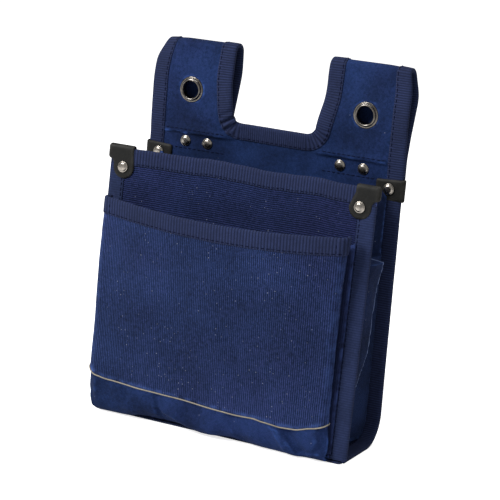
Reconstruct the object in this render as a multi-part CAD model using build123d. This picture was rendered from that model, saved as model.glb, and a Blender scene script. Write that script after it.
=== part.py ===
"""Electrician's tool pouch, in millimetres.

A canvas pouch that hangs from a waist belt. A back panel rises into two tabs, each folded over into a
riveted belt loop with an eyelet. The main pocket's front panel stands ahead of the back panel on bellows
gussets, and a second, shallower pocket is sewn to its front. Ribbed tape binds every edge, and leather
patches with rivets reinforce the top corners of the seams.

Frame: +Z up, +X to the right as seen from the front, -Y to the front. The origin is on the surface that the
pouch stands on, under the middle of its outer box. Depths are measured forward from the back panel's face.
"""

from build123d import *
import math
import os

# ---- cloth, tape and leather stock ----
CANVAS = 2.0  # two plies of heavy canvas
TAPE = 0.8  # one leaf of folded binding tape
TAPE_WIDTH = 12.5
TAPE_LIFT = 0.5  # its lower leaf is worn off where the pouch stands on the cloth
LEATHER = 1.2

# ---- outer shape ----
BACK_HALF_WIDTH = 112.0
SHOULDER_Z = 236.0  # foot of the cut-out between the belt loops
LOOP_TOP_Z = 298.0
LOOP_INNER_X = 42.0
LOOP_DEPTH = 18.0  # from the back panel's face to the back of the loop
CUTOUT_FLOOR_HALF = 24.0
FLARE_TOP_Z = 264.0
HEEL_RADIUS = 23.0  # at the middle of the cloth
FOOT_DEPTH = 64.5  # front edge of the bottom panel

# ---- main pocket front ----
FRONT_DEPTH = 69.0  # face of the front panel, at the floor
FRONT_LEAN = 4.0  # degrees, its top leans back
FRONT_HALF_WIDTH = 115.0
FRONT_FOOT = 3.0
FRONT_HEIGHT = 212.5  # measured up the leaning panel

# ---- second pocket ----
POCKET_HALF_WIDTH = 106.0
POCKET_SEAM_Z = 28.0
POCKET_TOP_Z = 176.0
SEAM_CORNER_DEPTH = 80.0
SEAM_CROWN = 1.5
MOUTH_CORNER_DEPTH = 76.0
MOUTH_CROWN = 12.0
MOUTH_TAPE_WIDTH = 13.5
BAND_RADIUS = 12.0
BAND_UNDERSIDE_Z = 2.6
BAND_END_DEPTH = 70.5
PIPING_RADIUS = 0.8

# ---- gussets: each is a front and a rear leaf that slide past each other ----
GUSSET_X = 100.0
GUSSET_TOP_Z = 186.0
POCKET_GUSSET_X = 103.0
POCKET_GUSSET_TOP_Z = 160.0
LEAF_LAP = 3.0
LEAF_GAP = 1.0

# ---- hardware ----
EYELET_X, EYELET_Z = 77.0, 258.0
EYELET_BORE = 6.75
EYELET_TUBE = 7.25
EYELET_RIM = 10.5
RIVET_CAP_RADIUS = 4.5
RIVET_CAP_HEIGHT = 2.0
RIVET_SHANK_RADIUS = 1.5
RIVET_DISC_RADIUS = 4.2
RIVET_DISC_HEIGHT = 1.0
LOOP_RIVET_XS, LOOP_RIVET_Z = (59.0, 79.0), 216.0
FRONT_RIVET_X, FRONT_RIVET_V = 103.0, 198.0
BACK_RIVET_X, BACK_RIVET_Z = 102.5, 204.0

# ---- worked out from the above ----
FRONT_REACH = MOUTH_CORNER_DEPTH + MOUTH_CROWN + TAPE
REAR_REACH = LOOP_DEPTH + TAPE
BACK_FACE_Y = (FRONT_REACH - REAR_REACH) / 2
HALF = CANVAS / 2
FOLD_RADIUS = (LOOP_DEPTH - CANVAS) / 2 - 0.05
STRAP_END_DEPTH = -(CANVAS + 2 * TAPE + HALF)
STRAP_END_Z = LOOP_RIVET_Z - 7.2
LEAN = math.radians(FRONT_LEAN)
SIDES = {"right": 1, "left": -1}


def y_at(depth):
    """The y of a point that lies this far forward of the back panel's face."""
    return BACK_FACE_Y - depth


def side_point(depth, z, x=0.0):
    """A point of the side view."""
    return (x, y_at(depth), z)


def front_depth(z):
    """Depth of the main front panel's face at height z."""
    return FRONT_DEPTH - z * math.tan(LEAN)


def front_plane():
    """The main front panel's own plane: x across, y up the panel, z out to the front."""
    origin = side_point(FRONT_DEPTH, 0)
    return Plane(origin=origin, x_dir=(1, 0, 0), z_dir=(0, -math.cos(LEAN), math.sin(LEAN)))


def back_plane():
    """The back panel's face: x across, y up, z out to the front."""
    return Plane(origin=side_point(0, 0), x_dir=(1, 0, 0), z_dir=(0, -1, 0))


def slab(plane, x0, x1, up0, up1, out0, out1):
    """A box in a plane's own coordinates: across, up and out."""
    size = (x1 - x0, up1 - up0, out1 - out0)
    middle = ((x0 + x1) / 2, (up0 + up1) / 2, (out0 + out1) / 2)
    return plane * Pos(*middle) * Box(*size)


def prism(plane, face, out0, out1):
    """A flat outline, drawn across and up, made thick from out0 to out1."""
    return plane * Pos(0, 0, out0) * extrude(face, out1 - out0)


def shifted_line(points, radii, shift):
    """A filleted line of the side view, moved this far to its left, with its new radii."""
    corners = [Vector(depth, z) for depth, z in points]
    runs = [(b - a).normalized() for a, b in zip(corners, corners[1:])]
    lefts = [Vector(-run.Y, run.X) for run in runs]
    moved = [corners[0] + lefts[0] * shift]
    new_radii = []
    for i, radius in enumerate(radii):
        before, after = lefts[i], lefts[i + 1]
        moved.append(corners[i + 1] + (before + after) * (shift / (1 + before.dot(after))))
        turns_left = runs[i].cross(runs[i + 1]).Z > 0
        new_radii.append(radius - shift if turns_left else radius + shift)
    moved.append(corners[-1] + lefts[-1] * shift)
    return [(corner.X, corner.Y) for corner in moved], new_radii


def sheet_along(points, radii, x0, x1, thickness):
    """A sheet from x0 to x1 whose middle follows a filleted line of the side view."""
    faces = []
    for shift in (thickness / 2, -thickness / 2):
        line, new_radii = shifted_line(points, radii, shift)
        faces.append(FilletPolyline(*[side_point(depth, z, x0) for depth, z in line], radius=new_radii))
    left, right = faces
    ends = [Line(left @ 0, right @ 0), Line(left @ 1, right @ 1)]
    return extrude(make_face([left, right] + ends), amount=x1 - x0, dir=(1, 0, 0))


def plate(points, x0, x1):
    """A flat plate square to X, from x0 to x1, whose outline is given as depths and heights."""
    outline = make_face(Polyline(*[side_point(depth, z, x0) for depth, z in points], close=True))
    return extrude(outline, amount=x1 - x0, dir=(1, 0, 0))


def bowed_section(z, corner_depth, crown, half_width, inner, outer):
    """A level slice of a bowed wall, from inner to outer millimetres ahead of its line."""

    def bow(offset):
        ends = corner_depth + offset
        return [(-half_width, y_at(ends), z), (0, y_at(ends + crown), z), (half_width, y_at(ends), z)]

    near, far = bow(inner), bow(outer)
    ends = [Line(near[2], far[2]), Line(far[0], near[0])]
    return make_face([ThreePointArc(*near), ThreePointArc(*far)] + ends)


def bowed_wall(z0, z1, half_width, inner, outer):
    """Part of the second pocket's bowed front, between two heights."""

    def slice_at(z):
        share = (z - POCKET_SEAM_Z) / (POCKET_TOP_Z - POCKET_SEAM_Z)
        corner = SEAM_CORNER_DEPTH + share * (MOUTH_CORNER_DEPTH - SEAM_CORNER_DEPTH)
        crown = SEAM_CROWN + share * (MOUTH_CROWN - SEAM_CROWN)
        return bowed_section(z, corner, crown, half_width, inner, outer)

    return loft([slice_at(z0), slice_at(z1)], ruled=True)


# ---- hardware ----
def shank_hole(plane, x, up):
    """The hole that a rivet's shank makes through everything it clamps."""
    return plane * Pos(x, up, 0) * Cylinder(RIVET_SHANK_RADIUS, 60)


def rivet(plane, x, up, front, rear):
    """A cap and the post that is pressed into it, clamping from front to rear."""
    socket = RIVET_CAP_HEIGHT * 0.6
    cap = Cylinder(RIVET_CAP_RADIUS, RIVET_CAP_HEIGHT, align=(Align.CENTER, Align.CENTER, Align.MIN))
    cap = fillet(cap.edges().group_by(Axis.Z)[-1], RIVET_CAP_HEIGHT * 0.7)
    cap -= Cylinder(RIVET_SHANK_RADIUS, socket, align=(Align.CENTER, Align.CENTER, Align.MIN))
    shank_length = front + socket - rear
    shank = Cylinder(RIVET_SHANK_RADIUS, shank_length, align=(Align.CENTER, Align.CENTER, Align.MIN))
    disc = Cylinder(RIVET_DISC_RADIUS, RIVET_DISC_HEIGHT, align=(Align.CENTER, Align.CENTER, Align.MAX))
    disc = fillet(disc.edges().group_by(Axis.Z)[0], RIVET_DISC_HEIGHT * 0.5)
    place = plane * Pos(x, up, 0)
    return place * Pos(0, 0, front) * cap, place * Pos(0, 0, rear) * (shank + disc)


def eyelet(x):
    """An eyelet's barrel with its rolled rims, and the washer under the rear one."""
    washer_back = -CANVAS - TAPE
    bore_front = 0.4
    bead_height, lip_height, lip_radius = 1.7, 1.1, 9.0
    profile = [
        Line((EYELET_BORE, washer_back), (EYELET_BORE, bore_front)),
        ThreePointArc((EYELET_BORE, bore_front), (8.4, bead_height), (EYELET_RIM, 0)),
        Line((EYELET_RIM, 0), (EYELET_TUBE, 0)),
        Line((EYELET_TUBE, 0), (EYELET_TUBE, washer_back)),
        Line((EYELET_TUBE, washer_back), (lip_radius, washer_back)),
        ThreePointArc((lip_radius, washer_back), (7.9, washer_back - lip_height), (EYELET_BORE, washer_back)),
    ]
    place = back_plane() * Pos(x, EYELET_Z, 0)
    barrel = revolve(Plane.XZ * make_face(profile), axis=Axis.Z)
    ring = Circle(EYELET_RIM - 0.3) - Circle(EYELET_TUBE)
    washer = Pos(0, 0, washer_back) * extrude(ring, TAPE)
    return place * barrel, place * washer


# ---- back of the pouch ----
BACK_LINE = [(FOOT_DEPTH, HALF), (-HALF, HALF), (-HALF, SHOULDER_Z)]
STRAP_LINE = [
    (-HALF, LOOP_TOP_Z - HALF - FOLD_RADIUS - 1),
    (-HALF, LOOP_TOP_Z - HALF),
    (HALF - LOOP_DEPTH, LOOP_TOP_Z - HALF),
    (HALF - LOOP_DEPTH, 274),
    (STRAP_END_DEPTH, 228),
    (STRAP_END_DEPTH, STRAP_END_Z),
]
STRAP_RADII = [FOLD_RADIUS, FOLD_RADIUS, 25, 25]
TAB_TOP_Z = STRAP_LINE[0][1]


def back_panel():
    """The flat back, from the heel's bend up to the foot of the cut-out."""
    heel_z = HALF + HEEL_RADIUS
    panel = slab(back_plane(), -BACK_HALF_WIDTH, BACK_HALF_WIDTH, heel_z, SHOULDER_Z, -CANVAS, 0)
    for side in SIDES.values():
        panel -= shank_hole(back_plane(), side * BACK_RIVET_X, BACK_RIVET_Z)
        for x in LOOP_RIVET_XS:
            panel -= shank_hole(back_plane(), side * x, LOOP_RIVET_Z)
    return panel


def bottom_panel():
    """The bottom and the bent heel that joins it to the back."""
    points = BACK_LINE[:2] + [(-HALF, HALF + HEEL_RADIUS + 0.01)]
    sheet = sheet_along(points, [HEEL_RADIUS], -BACK_HALF_WIDTH, BACK_HALF_WIDTH, CANVAS)
    return sheet & slab(back_plane(), -200, 200, -50, HALF + HEEL_RADIUS, -50, 200)


def tab_outline(side, inset=0.0):
    """One tab's face above the shoulder, with the inner edge that flares into the cut-out's floor."""
    inner, outer = LOOP_INNER_X + inset, BACK_HALF_WIDTH - inset
    floor, foot = CUTOUT_FLOOR_HALF + inset, SHOULDER_Z
    bend = (LOOP_INNER_X - 5.5 + inset, SHOULDER_Z + 8.5)
    edges = [
        ThreePointArc((floor, foot), bend, (inner, FLARE_TOP_Z)),
        Polyline((inner, FLARE_TOP_Z), (inner, TAB_TOP_Z), (outer, TAB_TOP_Z), (outer, foot), (floor, foot)),
    ]
    face = make_face(edges)
    return face if side > 0 else mirror(face, Plane.YZ)


def loop_tab(side):
    """The loop's front leaf, with the eyelet's hole."""
    tab = prism(back_plane(), tab_outline(side), -CANVAS, 0)
    return tab - back_plane() * Pos(side * EYELET_X, EYELET_Z, 0) * Cylinder(EYELET_TUBE, 30)


def loop_strap(side):
    """The fold over the belt and the rear leaf, which ends behind the loop's rivets."""
    xs = sorted((side * LOOP_INNER_X, side * BACK_HALF_WIDTH))
    strap = sheet_along(STRAP_LINE, STRAP_RADII, *xs, CANVAS)
    for x in LOOP_RIVET_XS:
        strap -= shank_hole(back_plane(), side * x, LOOP_RIVET_Z)
    return strap


def edge_tape(side):
    """Tape folded over the outer edge: along the bottom, up the back, over the loop and down its strap."""
    edge = BACK_HALF_WIDTH
    xs = sorted((side * (edge - TAPE_WIDTH), side * (edge + TAPE)))
    cloth = sorted((side * (edge - 2 * TAPE_WIDTH), side * edge))
    points = BACK_LINE[:2] + STRAP_LINE[1:]
    radii = [HEEL_RADIUS] + STRAP_RADII
    tape = sheet_along(points, radii, *xs, CANVAS + 2 * TAPE)
    tape -= sheet_along(points, radii, *cloth, CANVAS)
    tape -= shank_hole(back_plane(), side * BACK_RIVET_X, BACK_RIVET_Z)
    below = Box(400, 400, 50, align=(Align.CENTER, Align.CENTER, Align.MAX))
    return tape - Pos(0, 0, TAPE_LIFT) * below


def cutout_tape():
    """Tape folded over the cut-out's edge, from one strap's end to the other's."""
    foot = SHOULDER_Z
    reach = CUTOUT_FLOOR_HALF
    band = slab(back_plane(), -reach, reach, foot - TAPE_WIDTH, foot + TAPE, -CANVAS - TAPE, TAPE)
    for side in SIDES.values():
        outer = tab_outline(side, -TAPE) - tab_outline(side, TAPE_WIDTH)
        window = Pos(side * 40, foot + 40) * Rectangle(2 * 32, 2 * 40)
        band += prism(back_plane(), outer & window, -CANVAS - TAPE, TAPE)
        xs = sorted((side * CUTOUT_FLOOR_HALF * 0.9, side * (CUTOUT_FLOOR_HALF + TAPE_WIDTH)))
        band += slab(back_plane(), *xs, foot - TAPE_WIDTH, foot, -CANVAS - TAPE, TAPE)
        channel_xs = sorted((side * (LOOP_INNER_X - TAPE), side * (LOOP_INNER_X + TAPE_WIDTH)))
        band += sheet_along(STRAP_LINE, STRAP_RADII, *channel_xs, CANVAS + 2 * TAPE)
    band -= slab(back_plane(), -BACK_HALF_WIDTH, BACK_HALF_WIDTH, 0, foot, -CANVAS, 0)
    for side in SIDES.values():
        band -= prism(back_plane(), tab_outline(side), -CANVAS, 0)
        xs = sorted((side * LOOP_INNER_X, side * BACK_HALF_WIDTH))
        band -= sheet_along(STRAP_LINE, STRAP_RADII, *xs, CANVAS)
    return band


def base_tape():
    """Tape over the seam where the bottom, the front panel and the second pocket meet."""
    return slab(back_plane(), -BACK_HALF_WIDTH, BACK_HALF_WIDTH, 0, CANVAS, FOOT_DEPTH, FOOT_DEPTH + 6)


def back_corner(side, cloths):
    """Leather wrapped round the back panel's edge where the gusset's top is sewn on."""
    wrap = TAPE + LEATHER
    xs = sorted((side * 91, side * (BACK_HALF_WIDTH + wrap)))
    patch = slab(back_plane(), *xs, BACK_RIVET_Z - 9, BACK_RIVET_Z + 8, -CANVAS - wrap, wrap)
    for cloth in cloths:
        patch -= cloth
    return patch - shank_hole(back_plane(), side * BACK_RIVET_X, BACK_RIVET_Z)


# ---- main pocket front ----
def front_panel():
    """The main pocket's front."""
    panel = slab(front_plane(), -FRONT_HALF_WIDTH, FRONT_HALF_WIDTH, FRONT_FOOT, FRONT_HEIGHT, -CANVAS, 0)
    for side in SIDES.values():
        panel -= shank_hole(front_plane(), side * FRONT_RIVET_X, FRONT_RIVET_V)
    return panel


def front_mouth_tape(panel):
    """Tape folded over the main pocket's mouth."""
    edge = FRONT_HALF_WIDTH + TAPE
    low, high = FRONT_HEIGHT - TAPE_WIDTH, FRONT_HEIGHT + TAPE
    tape = slab(front_plane(), -edge, edge, low, high, -CANVAS - TAPE, TAPE) - panel
    for side in SIDES.values():
        tape -= shank_hole(front_plane(), side * FRONT_RIVET_X, FRONT_RIVET_V)
    return tape


def front_seam_tape(side, panel):
    """Tape folded over the front panel's side, where both gussets are sewn in."""
    xs = sorted((side * (FRONT_HALF_WIDTH - TAPE_WIDTH), side * (FRONT_HALF_WIDTH + TAPE)))
    tape = slab(front_plane(), *xs, FRONT_FOOT, FRONT_HEIGHT - TAPE_WIDTH, -CANVAS - TAPE, TAPE)
    return tape - panel - shank_hole(front_plane(), side * FRONT_RIVET_X, FRONT_RIVET_V)


def front_corner(side, panel, tapes):
    """Leather folded over the mouth's corner, round-ended about its rivet."""
    wrap = TAPE + LEATHER
    round_end = Pos(side * FRONT_RIVET_X, FRONT_RIVET_V) * Circle(9.5)
    top = FRONT_HEIGHT + wrap
    inner, outer = FRONT_RIVET_X - 9.5, FRONT_HALF_WIDTH + wrap
    cap = Pos(side * (inner + outer) / 2, top - 5) * Rectangle(outer - inner, 10)
    outline = make_hull(round_end.edges() + cap.edges())
    patch = prism(front_plane(), outline, -CANVAS - wrap, wrap) - panel
    for tape in tapes:
        patch -= tape
    return patch - shank_hole(front_plane(), side * FRONT_RIVET_X, FRONT_RIVET_V)


def main_gusset_leaves(side):
    """The rear leaf, which stands on the back panel, and the front leaf, which goes with the front panel."""

    def inner(z):
        return front_depth(z) - CANVAS

    foot, top = FRONT_FOOT, GUSSET_TOP_Z
    rear = [
        (LEAF_GAP, HEEL_RADIUS + 3),
        (HEEL_RADIUS + 1, foot),
        (inner(foot) / 2 + LEAF_LAP, foot),
        (inner(top) / 2 + LEAF_LAP, top),
        (LEAF_GAP, top),
    ]
    front = [
        (inner(foot) / 2 - LEAF_LAP, foot + 5),
        (inner(foot) - LEAF_GAP, foot + 1),
        (inner(top) - LEAF_GAP, top),
        (inner(top) / 2 - LEAF_LAP, top),
    ]
    rear_x, front_x = GUSSET_X - CANVAS, GUSSET_X - 2 * CANVAS - LEAF_GAP
    rear_leaf = plate(rear, side * rear_x, side * (rear_x + CANVAS))
    front_leaf = plate(front, side * front_x, side * (front_x + CANVAS))
    return rear_leaf, front_leaf


# ---- second pocket ----
def pocket_gusset_leaves(side):
    """The rear leaf, on the front panel, and the front leaf, which goes with the second pocket."""
    foot, top = 16.0, POCKET_GUSSET_TOP_Z
    lap = LEAF_LAP / 2

    def face(z):
        return front_depth(z)

    def inner(z):
        share = (z - POCKET_SEAM_Z) / (POCKET_TOP_Z - POCKET_SEAM_Z)
        return SEAM_CORNER_DEPTH - CANVAS + share * (MOUTH_CORNER_DEPTH - SEAM_CORNER_DEPTH)

    def middle(z):
        return (face(z) + inner(z)) / 2

    rear = [(face(z) + LEAF_GAP, z) for z in (top, foot)] + [(middle(z) + lap, z) for z in (foot, top)]
    front = [(middle(z) - lap, z) for z in (top, foot)] + [(inner(z) - LEAF_GAP, z) for z in (foot, top)]
    rear_x, front_x = POCKET_GUSSET_X - CANVAS, POCKET_GUSSET_X - 2 * CANVAS - LEAF_GAP
    rear_leaf = plate(rear, side * rear_x, side * (rear_x + CANVAS))
    front_leaf = plate(front, side * front_x, side * (front_x + CANVAS))
    return rear_leaf, front_leaf


def pocket_panel():
    """The second pocket's front, bowed outwards at its mouth."""
    return bowed_wall(POCKET_SEAM_Z + PIPING_RADIUS, POCKET_TOP_Z, POCKET_HALF_WIDTH, -CANVAS, 0)


def pocket_mouth_tape(panel):
    """Tape folded over the second pocket's mouth."""
    low, high = POCKET_TOP_Z - MOUTH_TAPE_WIDTH, POCKET_TOP_Z + TAPE
    return bowed_wall(low, high, POCKET_HALF_WIDTH, -CANVAS - TAPE, TAPE) - panel


def pocket_piping():
    """The pale cord sewn into the seam between the pocket's front and its bottom band."""
    depth = SEAM_CORNER_DEPTH
    ends = POCKET_HALF_WIDTH
    path = ThreePointArc(
        (-ends, y_at(depth), POCKET_SEAM_Z),
        (0, y_at(depth + SEAM_CROWN), POCKET_SEAM_Z),
        (ends, y_at(depth), POCKET_SEAM_Z),
    )
    start = Plane(origin=path @ 0, z_dir=path % 0)
    return sweep(start * Circle(PIPING_RADIUS), path=path)


def pocket_band():
    """Plain canvas that turns under the second pocket and is sewn into the base seam."""
    under = BAND_UNDERSIDE_Z + HALF
    top = POCKET_SEAM_Z - PIPING_RADIUS
    front = SEAM_CORNER_DEPTH - HALF
    points = [(front, top), (front, under), (BAND_END_DEPTH, under)]
    return sheet_along(points, [BAND_RADIUS * 0.7], -POCKET_HALF_WIDTH + 1, POCKET_HALF_WIDTH - 1, CANVAS)


def pouch():
    """Every part of the pouch, by name."""
    parts = {"back_panel": back_panel(), "bottom_panel": bottom_panel()}
    parts["front_panel"] = front_panel()
    parts["front_mouth_tape"] = front_mouth_tape(parts["front_panel"])
    parts["cutout_tape"] = cutout_tape()
    parts["base_tape"] = base_tape()
    parts["pocket_panel"] = pocket_panel()
    parts["pocket_mouth_tape"] = pocket_mouth_tape(parts["pocket_panel"])
    parts["pocket_piping"] = pocket_piping()
    parts["pocket_band"] = pocket_band()

    wrap = TAPE + LEATHER
    rivets = {"loop": [], "back_corner": [], "front_corner": []}
    for name, side in SIDES.items():
        parts[f"{name}_loop_tab"] = loop_tab(side)
        parts[f"{name}_loop_strap"] = loop_strap(side)
        parts[f"{name}_edge_tape"] = edge_tape(side)
        cloths = (parts["back_panel"], parts[f"{name}_edge_tape"], parts[f"{name}_loop_strap"])
        parts[f"{name}_back_corner"] = back_corner(side, cloths)
        parts[f"{name}_front_seam_tape"] = front_seam_tape(side, parts["front_panel"])
        tapes = (parts["front_mouth_tape"], parts[f"{name}_front_seam_tape"])
        parts[f"{name}_front_corner"] = front_corner(side, parts["front_panel"], tapes)
        leaves = main_gusset_leaves(side)
        parts[f"{name}_gusset_rear_leaf"], parts[f"{name}_gusset_front_leaf"] = leaves
        leaves = pocket_gusset_leaves(side)
        parts[f"{name}_pocket_gusset_rear_leaf"], parts[f"{name}_pocket_gusset_front_leaf"] = leaves
        parts[f"{name}_eyelet"], parts[f"{name}_eyelet_washer"] = eyelet(side * EYELET_X)
        strap_back = STRAP_END_DEPTH - HALF
        for x in LOOP_RIVET_XS:
            rivets["loop"].append(rivet(back_plane(), side * x, LOOP_RIVET_Z, 0, strap_back))
        back = rivet(back_plane(), side * BACK_RIVET_X, BACK_RIVET_Z, wrap, -CANVAS - wrap)
        rivets["back_corner"].append(back)
        front = rivet(front_plane(), side * FRONT_RIVET_X, FRONT_RIVET_V, wrap, -CANVAS - wrap)
        rivets["front_corner"].append(front)
    for place, pairs in rivets.items():
        parts[f"{place}_rivet_caps"] = Compound(children=[cap for cap, _ in pairs])
        parts[f"{place}_rivet_posts"] = Compound(children=[post for _, post in pairs])
    return parts


os.makedirs("parts", exist_ok=True)
for part_name, shape in pouch().items():
    export_step(shape, f"parts/{part_name}.step")
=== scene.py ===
"""Electrician's tool pouch: cloth, tape, leather and metal, built round the pouch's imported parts.

Lengths are in metres, apart from tables of places, which are in millimetres and are scaled as they are
read. X runs across the pouch, -Y is its front and Z is up. Depths are measured forward from the back
panel's front face. Cloth is placed by its middle surface, and "lift" is a height above it.
"""

import logging
import math
from collections.abc import Callable, Iterable, Sequence
from dataclasses import dataclass, field
from enum import Enum
from typing import Protocol

import bmesh
import bpy
from mathutils import Matrix, Vector, noise


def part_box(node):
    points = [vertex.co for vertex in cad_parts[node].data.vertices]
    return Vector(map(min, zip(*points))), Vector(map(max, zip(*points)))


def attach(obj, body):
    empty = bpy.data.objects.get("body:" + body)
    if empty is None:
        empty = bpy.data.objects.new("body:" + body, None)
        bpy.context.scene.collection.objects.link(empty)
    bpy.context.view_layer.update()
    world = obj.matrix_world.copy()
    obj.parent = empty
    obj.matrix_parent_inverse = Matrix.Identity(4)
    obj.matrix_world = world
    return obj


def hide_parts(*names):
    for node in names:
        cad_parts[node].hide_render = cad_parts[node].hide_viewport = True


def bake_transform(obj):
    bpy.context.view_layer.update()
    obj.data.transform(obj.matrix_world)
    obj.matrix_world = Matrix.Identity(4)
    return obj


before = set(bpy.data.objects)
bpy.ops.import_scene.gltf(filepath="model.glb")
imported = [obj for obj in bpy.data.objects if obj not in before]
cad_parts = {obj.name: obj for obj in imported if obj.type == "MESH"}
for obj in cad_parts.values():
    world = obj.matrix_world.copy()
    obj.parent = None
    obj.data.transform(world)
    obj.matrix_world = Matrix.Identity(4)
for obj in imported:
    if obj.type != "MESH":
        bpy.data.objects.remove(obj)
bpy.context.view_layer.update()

MM = 0.001
TURN = 2 * math.pi
SAMPLES_PER_RIB = 6
WHOLE_CLOTH = 1.0
log = logging.getLogger("pouch")

Point2 = tuple[float, float]
Table = tuple[Point2, ...]
Lift = Callable[[float, float], float]
Socket = bpy.types.NodeSocket
Colour = tuple[float, float, float, float]


# ------------------------------------------------------------------------------------------- sizes


@dataclass(frozen=True)
class Stock:
    """What the pouch is cut from."""

    canvas: float = 2.0 * MM
    gusset_cloth: float = 1.6 * MM
    tape: float = 0.8 * MM
    tape_width: float = 12.5 * MM
    leather: float = 1.2 * MM
    rib_pitch: float = 1.9 * MM
    mouth_rib_pitch: float = 2.5 * MM
    thread: float = 0.32 * MM
    stitch: float = 2.7 * MM
    stitch_gap: float = 0.9 * MM

    @property
    def skin(self) -> float:
        """Lift of a cloth's face."""
        return self.canvas / 2

    @property
    def tape_top(self) -> float:
        """Lift of the outside of a folded tape."""
        return self.skin + 0.6 * MM


STOCK = Stock()


@dataclass(frozen=True)
class Layout:
    """Where the pouch's main lines and fasteners are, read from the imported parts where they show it."""

    back_y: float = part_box("back_panel")[0].y
    back_half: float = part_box("back_panel")[1].x
    shoulder_z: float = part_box("back_panel")[1].z
    heel_top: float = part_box("bottom_panel")[1].z
    foot_y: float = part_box("bottom_panel")[0].y
    loop_top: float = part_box("left_loop_strap")[1].z
    loop_rear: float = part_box("left_loop_strap")[1].y
    loop_inner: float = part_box("right_loop_strap")[0].x
    strap_end_z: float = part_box("left_loop_strap")[0].z
    front_half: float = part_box("front_panel")[1].x
    front_foot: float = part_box("front_panel")[0].z
    front_top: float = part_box("front_panel")[1].z
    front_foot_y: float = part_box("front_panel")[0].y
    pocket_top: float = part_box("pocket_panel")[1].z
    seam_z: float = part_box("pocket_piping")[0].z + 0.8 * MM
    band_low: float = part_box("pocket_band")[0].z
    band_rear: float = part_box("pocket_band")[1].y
    lean: float = math.radians(4)
    eyelet: Point2 = (77.0 * MM, 258.0 * MM)
    loop_rivets: tuple[Point2, ...] = ((59.0 * MM, 216.0 * MM), (79.0 * MM, 216.0 * MM))
    corner_rivet: Point2 = (102.5 * MM, 204.0 * MM)

    def y_at(self, depth: float) -> float:
        """The y of a point this far forward of the back panel's face."""
        return self.back_y - depth


LAYOUT = Layout()


class Side(Enum):
    """The two sides of the pouch, as seen from the front."""

    LEFT = -1
    RIGHT = 1

    @property
    def word(self) -> str:
        """The side's name as the parts spell it."""
        return self.name.lower()


class Body(Enum):
    """What each piece moves with."""

    BACK = "back"
    MAIN_FRONT = "main_front"
    FRONT_POCKET = "front_pocket"


# ------------------------------------------------------------------------------------------ helpers


def smooth(low: float, high: float, value: float) -> float:
    """A step from 0 at low to 1 at high with level ends."""
    share = min(1.0, max(0.0, (value - low) / (high - low)))
    return share * share * (3 - 2 * share)


def mix(a: float, b: float, share: float) -> float:
    """The value a share of the way from a to b."""
    return a + (b - a) * share


def bump(centre: float, width: float, value: float) -> float:
    """A soft hill of height 1, width wide each way."""
    return math.exp(-(((value - centre) / width) ** 2))


def crumple(u: float, v: float, seed: float, size: float) -> float:
    """Slow unevenness of hand-sewn cloth at (u, v), about -1 to 1, in hills of a size; the seed picks one."""
    return noise.fractal(Vector((u / size, v / size, seed)), 1.0, 2.1, 3)


def corner_tuck(x: float, z: float) -> float:
    """How far the cloth of the lower left corner, crushed in use, is drawn in towards the middle."""
    return 9.0 * MM * smooth(50 * MM, 112 * MM, -x) * (1 - smooth(0.0, 48 * MM, z))


def read_table(table: Table, place: float) -> float:
    """Reads a value between the entries of a table, and holds it level past the ends.

    Args:
        table: pairs of a place and a value, in millimetres, with rising places.
        place: where to read it.

    Returns:
        The value there.
    """
    key = place / MM
    if key <= table[0][0]:
        return table[0][1] * MM
    for (k0, v0), (k1, v1) in zip(table, table[1:]):
        if key <= k1:
            share = (key - k0) / (k1 - k0)
            return mix(v0, v1, (smooth(0, 1, share) + share) / 2) * MM
    return table[-1][1] * MM


def rounded_line(corners: Sequence[Point2], radii: Sequence[float], step: float) -> list[Point2]:
    """A line through corners rounded to the given radii.

    Args:
        corners: the line's corners, ends included.
        radii: one for each corner between the ends.
        step: distance between the points made.

    Returns:
        Evenly spaced points.
    """
    points: list[Vector] = [Vector(corners[0])]
    for before, corner, after, radius in zip(corners, corners[1:], corners[2:], radii):
        a, b, c = Vector(before), Vector(corner), Vector(after)
        into, out = (b - a).normalized(), (c - b).normalized()
        turn = into.angle_signed(out)
        start = b - into * (radius * math.tan(abs(turn) / 2))
        hub = start + Vector((into.y, -into.x)) * math.copysign(radius, turn)
        spoke = start - hub
        count = max(2, int(abs(turn) * radius / step) + 1)
        points += [hub + Matrix.Rotation(-turn * i / count, 2) @ spoke for i in range(count + 1)]
    points.append(Vector(corners[-1]))
    return even_line([tuple(point) for point in points], step)


def even_line(points: Sequence[Point2], step: float) -> list[Point2]:
    """Divides a line evenly.

    Args:
        points: the line.
        step: roughly how far apart its new points are.

    Returns:
        The new points, with both ends kept.
    """
    lengths = [0.0]
    for a, b in zip(points, points[1:]):
        lengths.append(lengths[-1] + math.dist(a, b))
    count = max(1, round(lengths[-1] / step))
    made: list[Point2] = []
    index = 0
    for i in range(count + 1):
        goal = lengths[-1] * i / count
        while index < len(points) - 2 and lengths[index + 1] < goal:
            index += 1
        run = lengths[index + 1] - lengths[index]
        share = (goal - lengths[index]) / run if run else 0.0
        a, b = points[index], points[index + 1]
        made.append((mix(a[0], b[0], share), mix(a[1], b[1], share)))
    return made


# ----------------------------------------------------------------------------------------- surfaces


class Surface(Protocol):
    """A cloth's middle surface, addressed by a place across, u, and a place along the cloth, v."""

    def place(self, u: float, v: float, lift: float = 0.0) -> Vector:
        """The point at (u, v), lifted off the cloth."""


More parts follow.
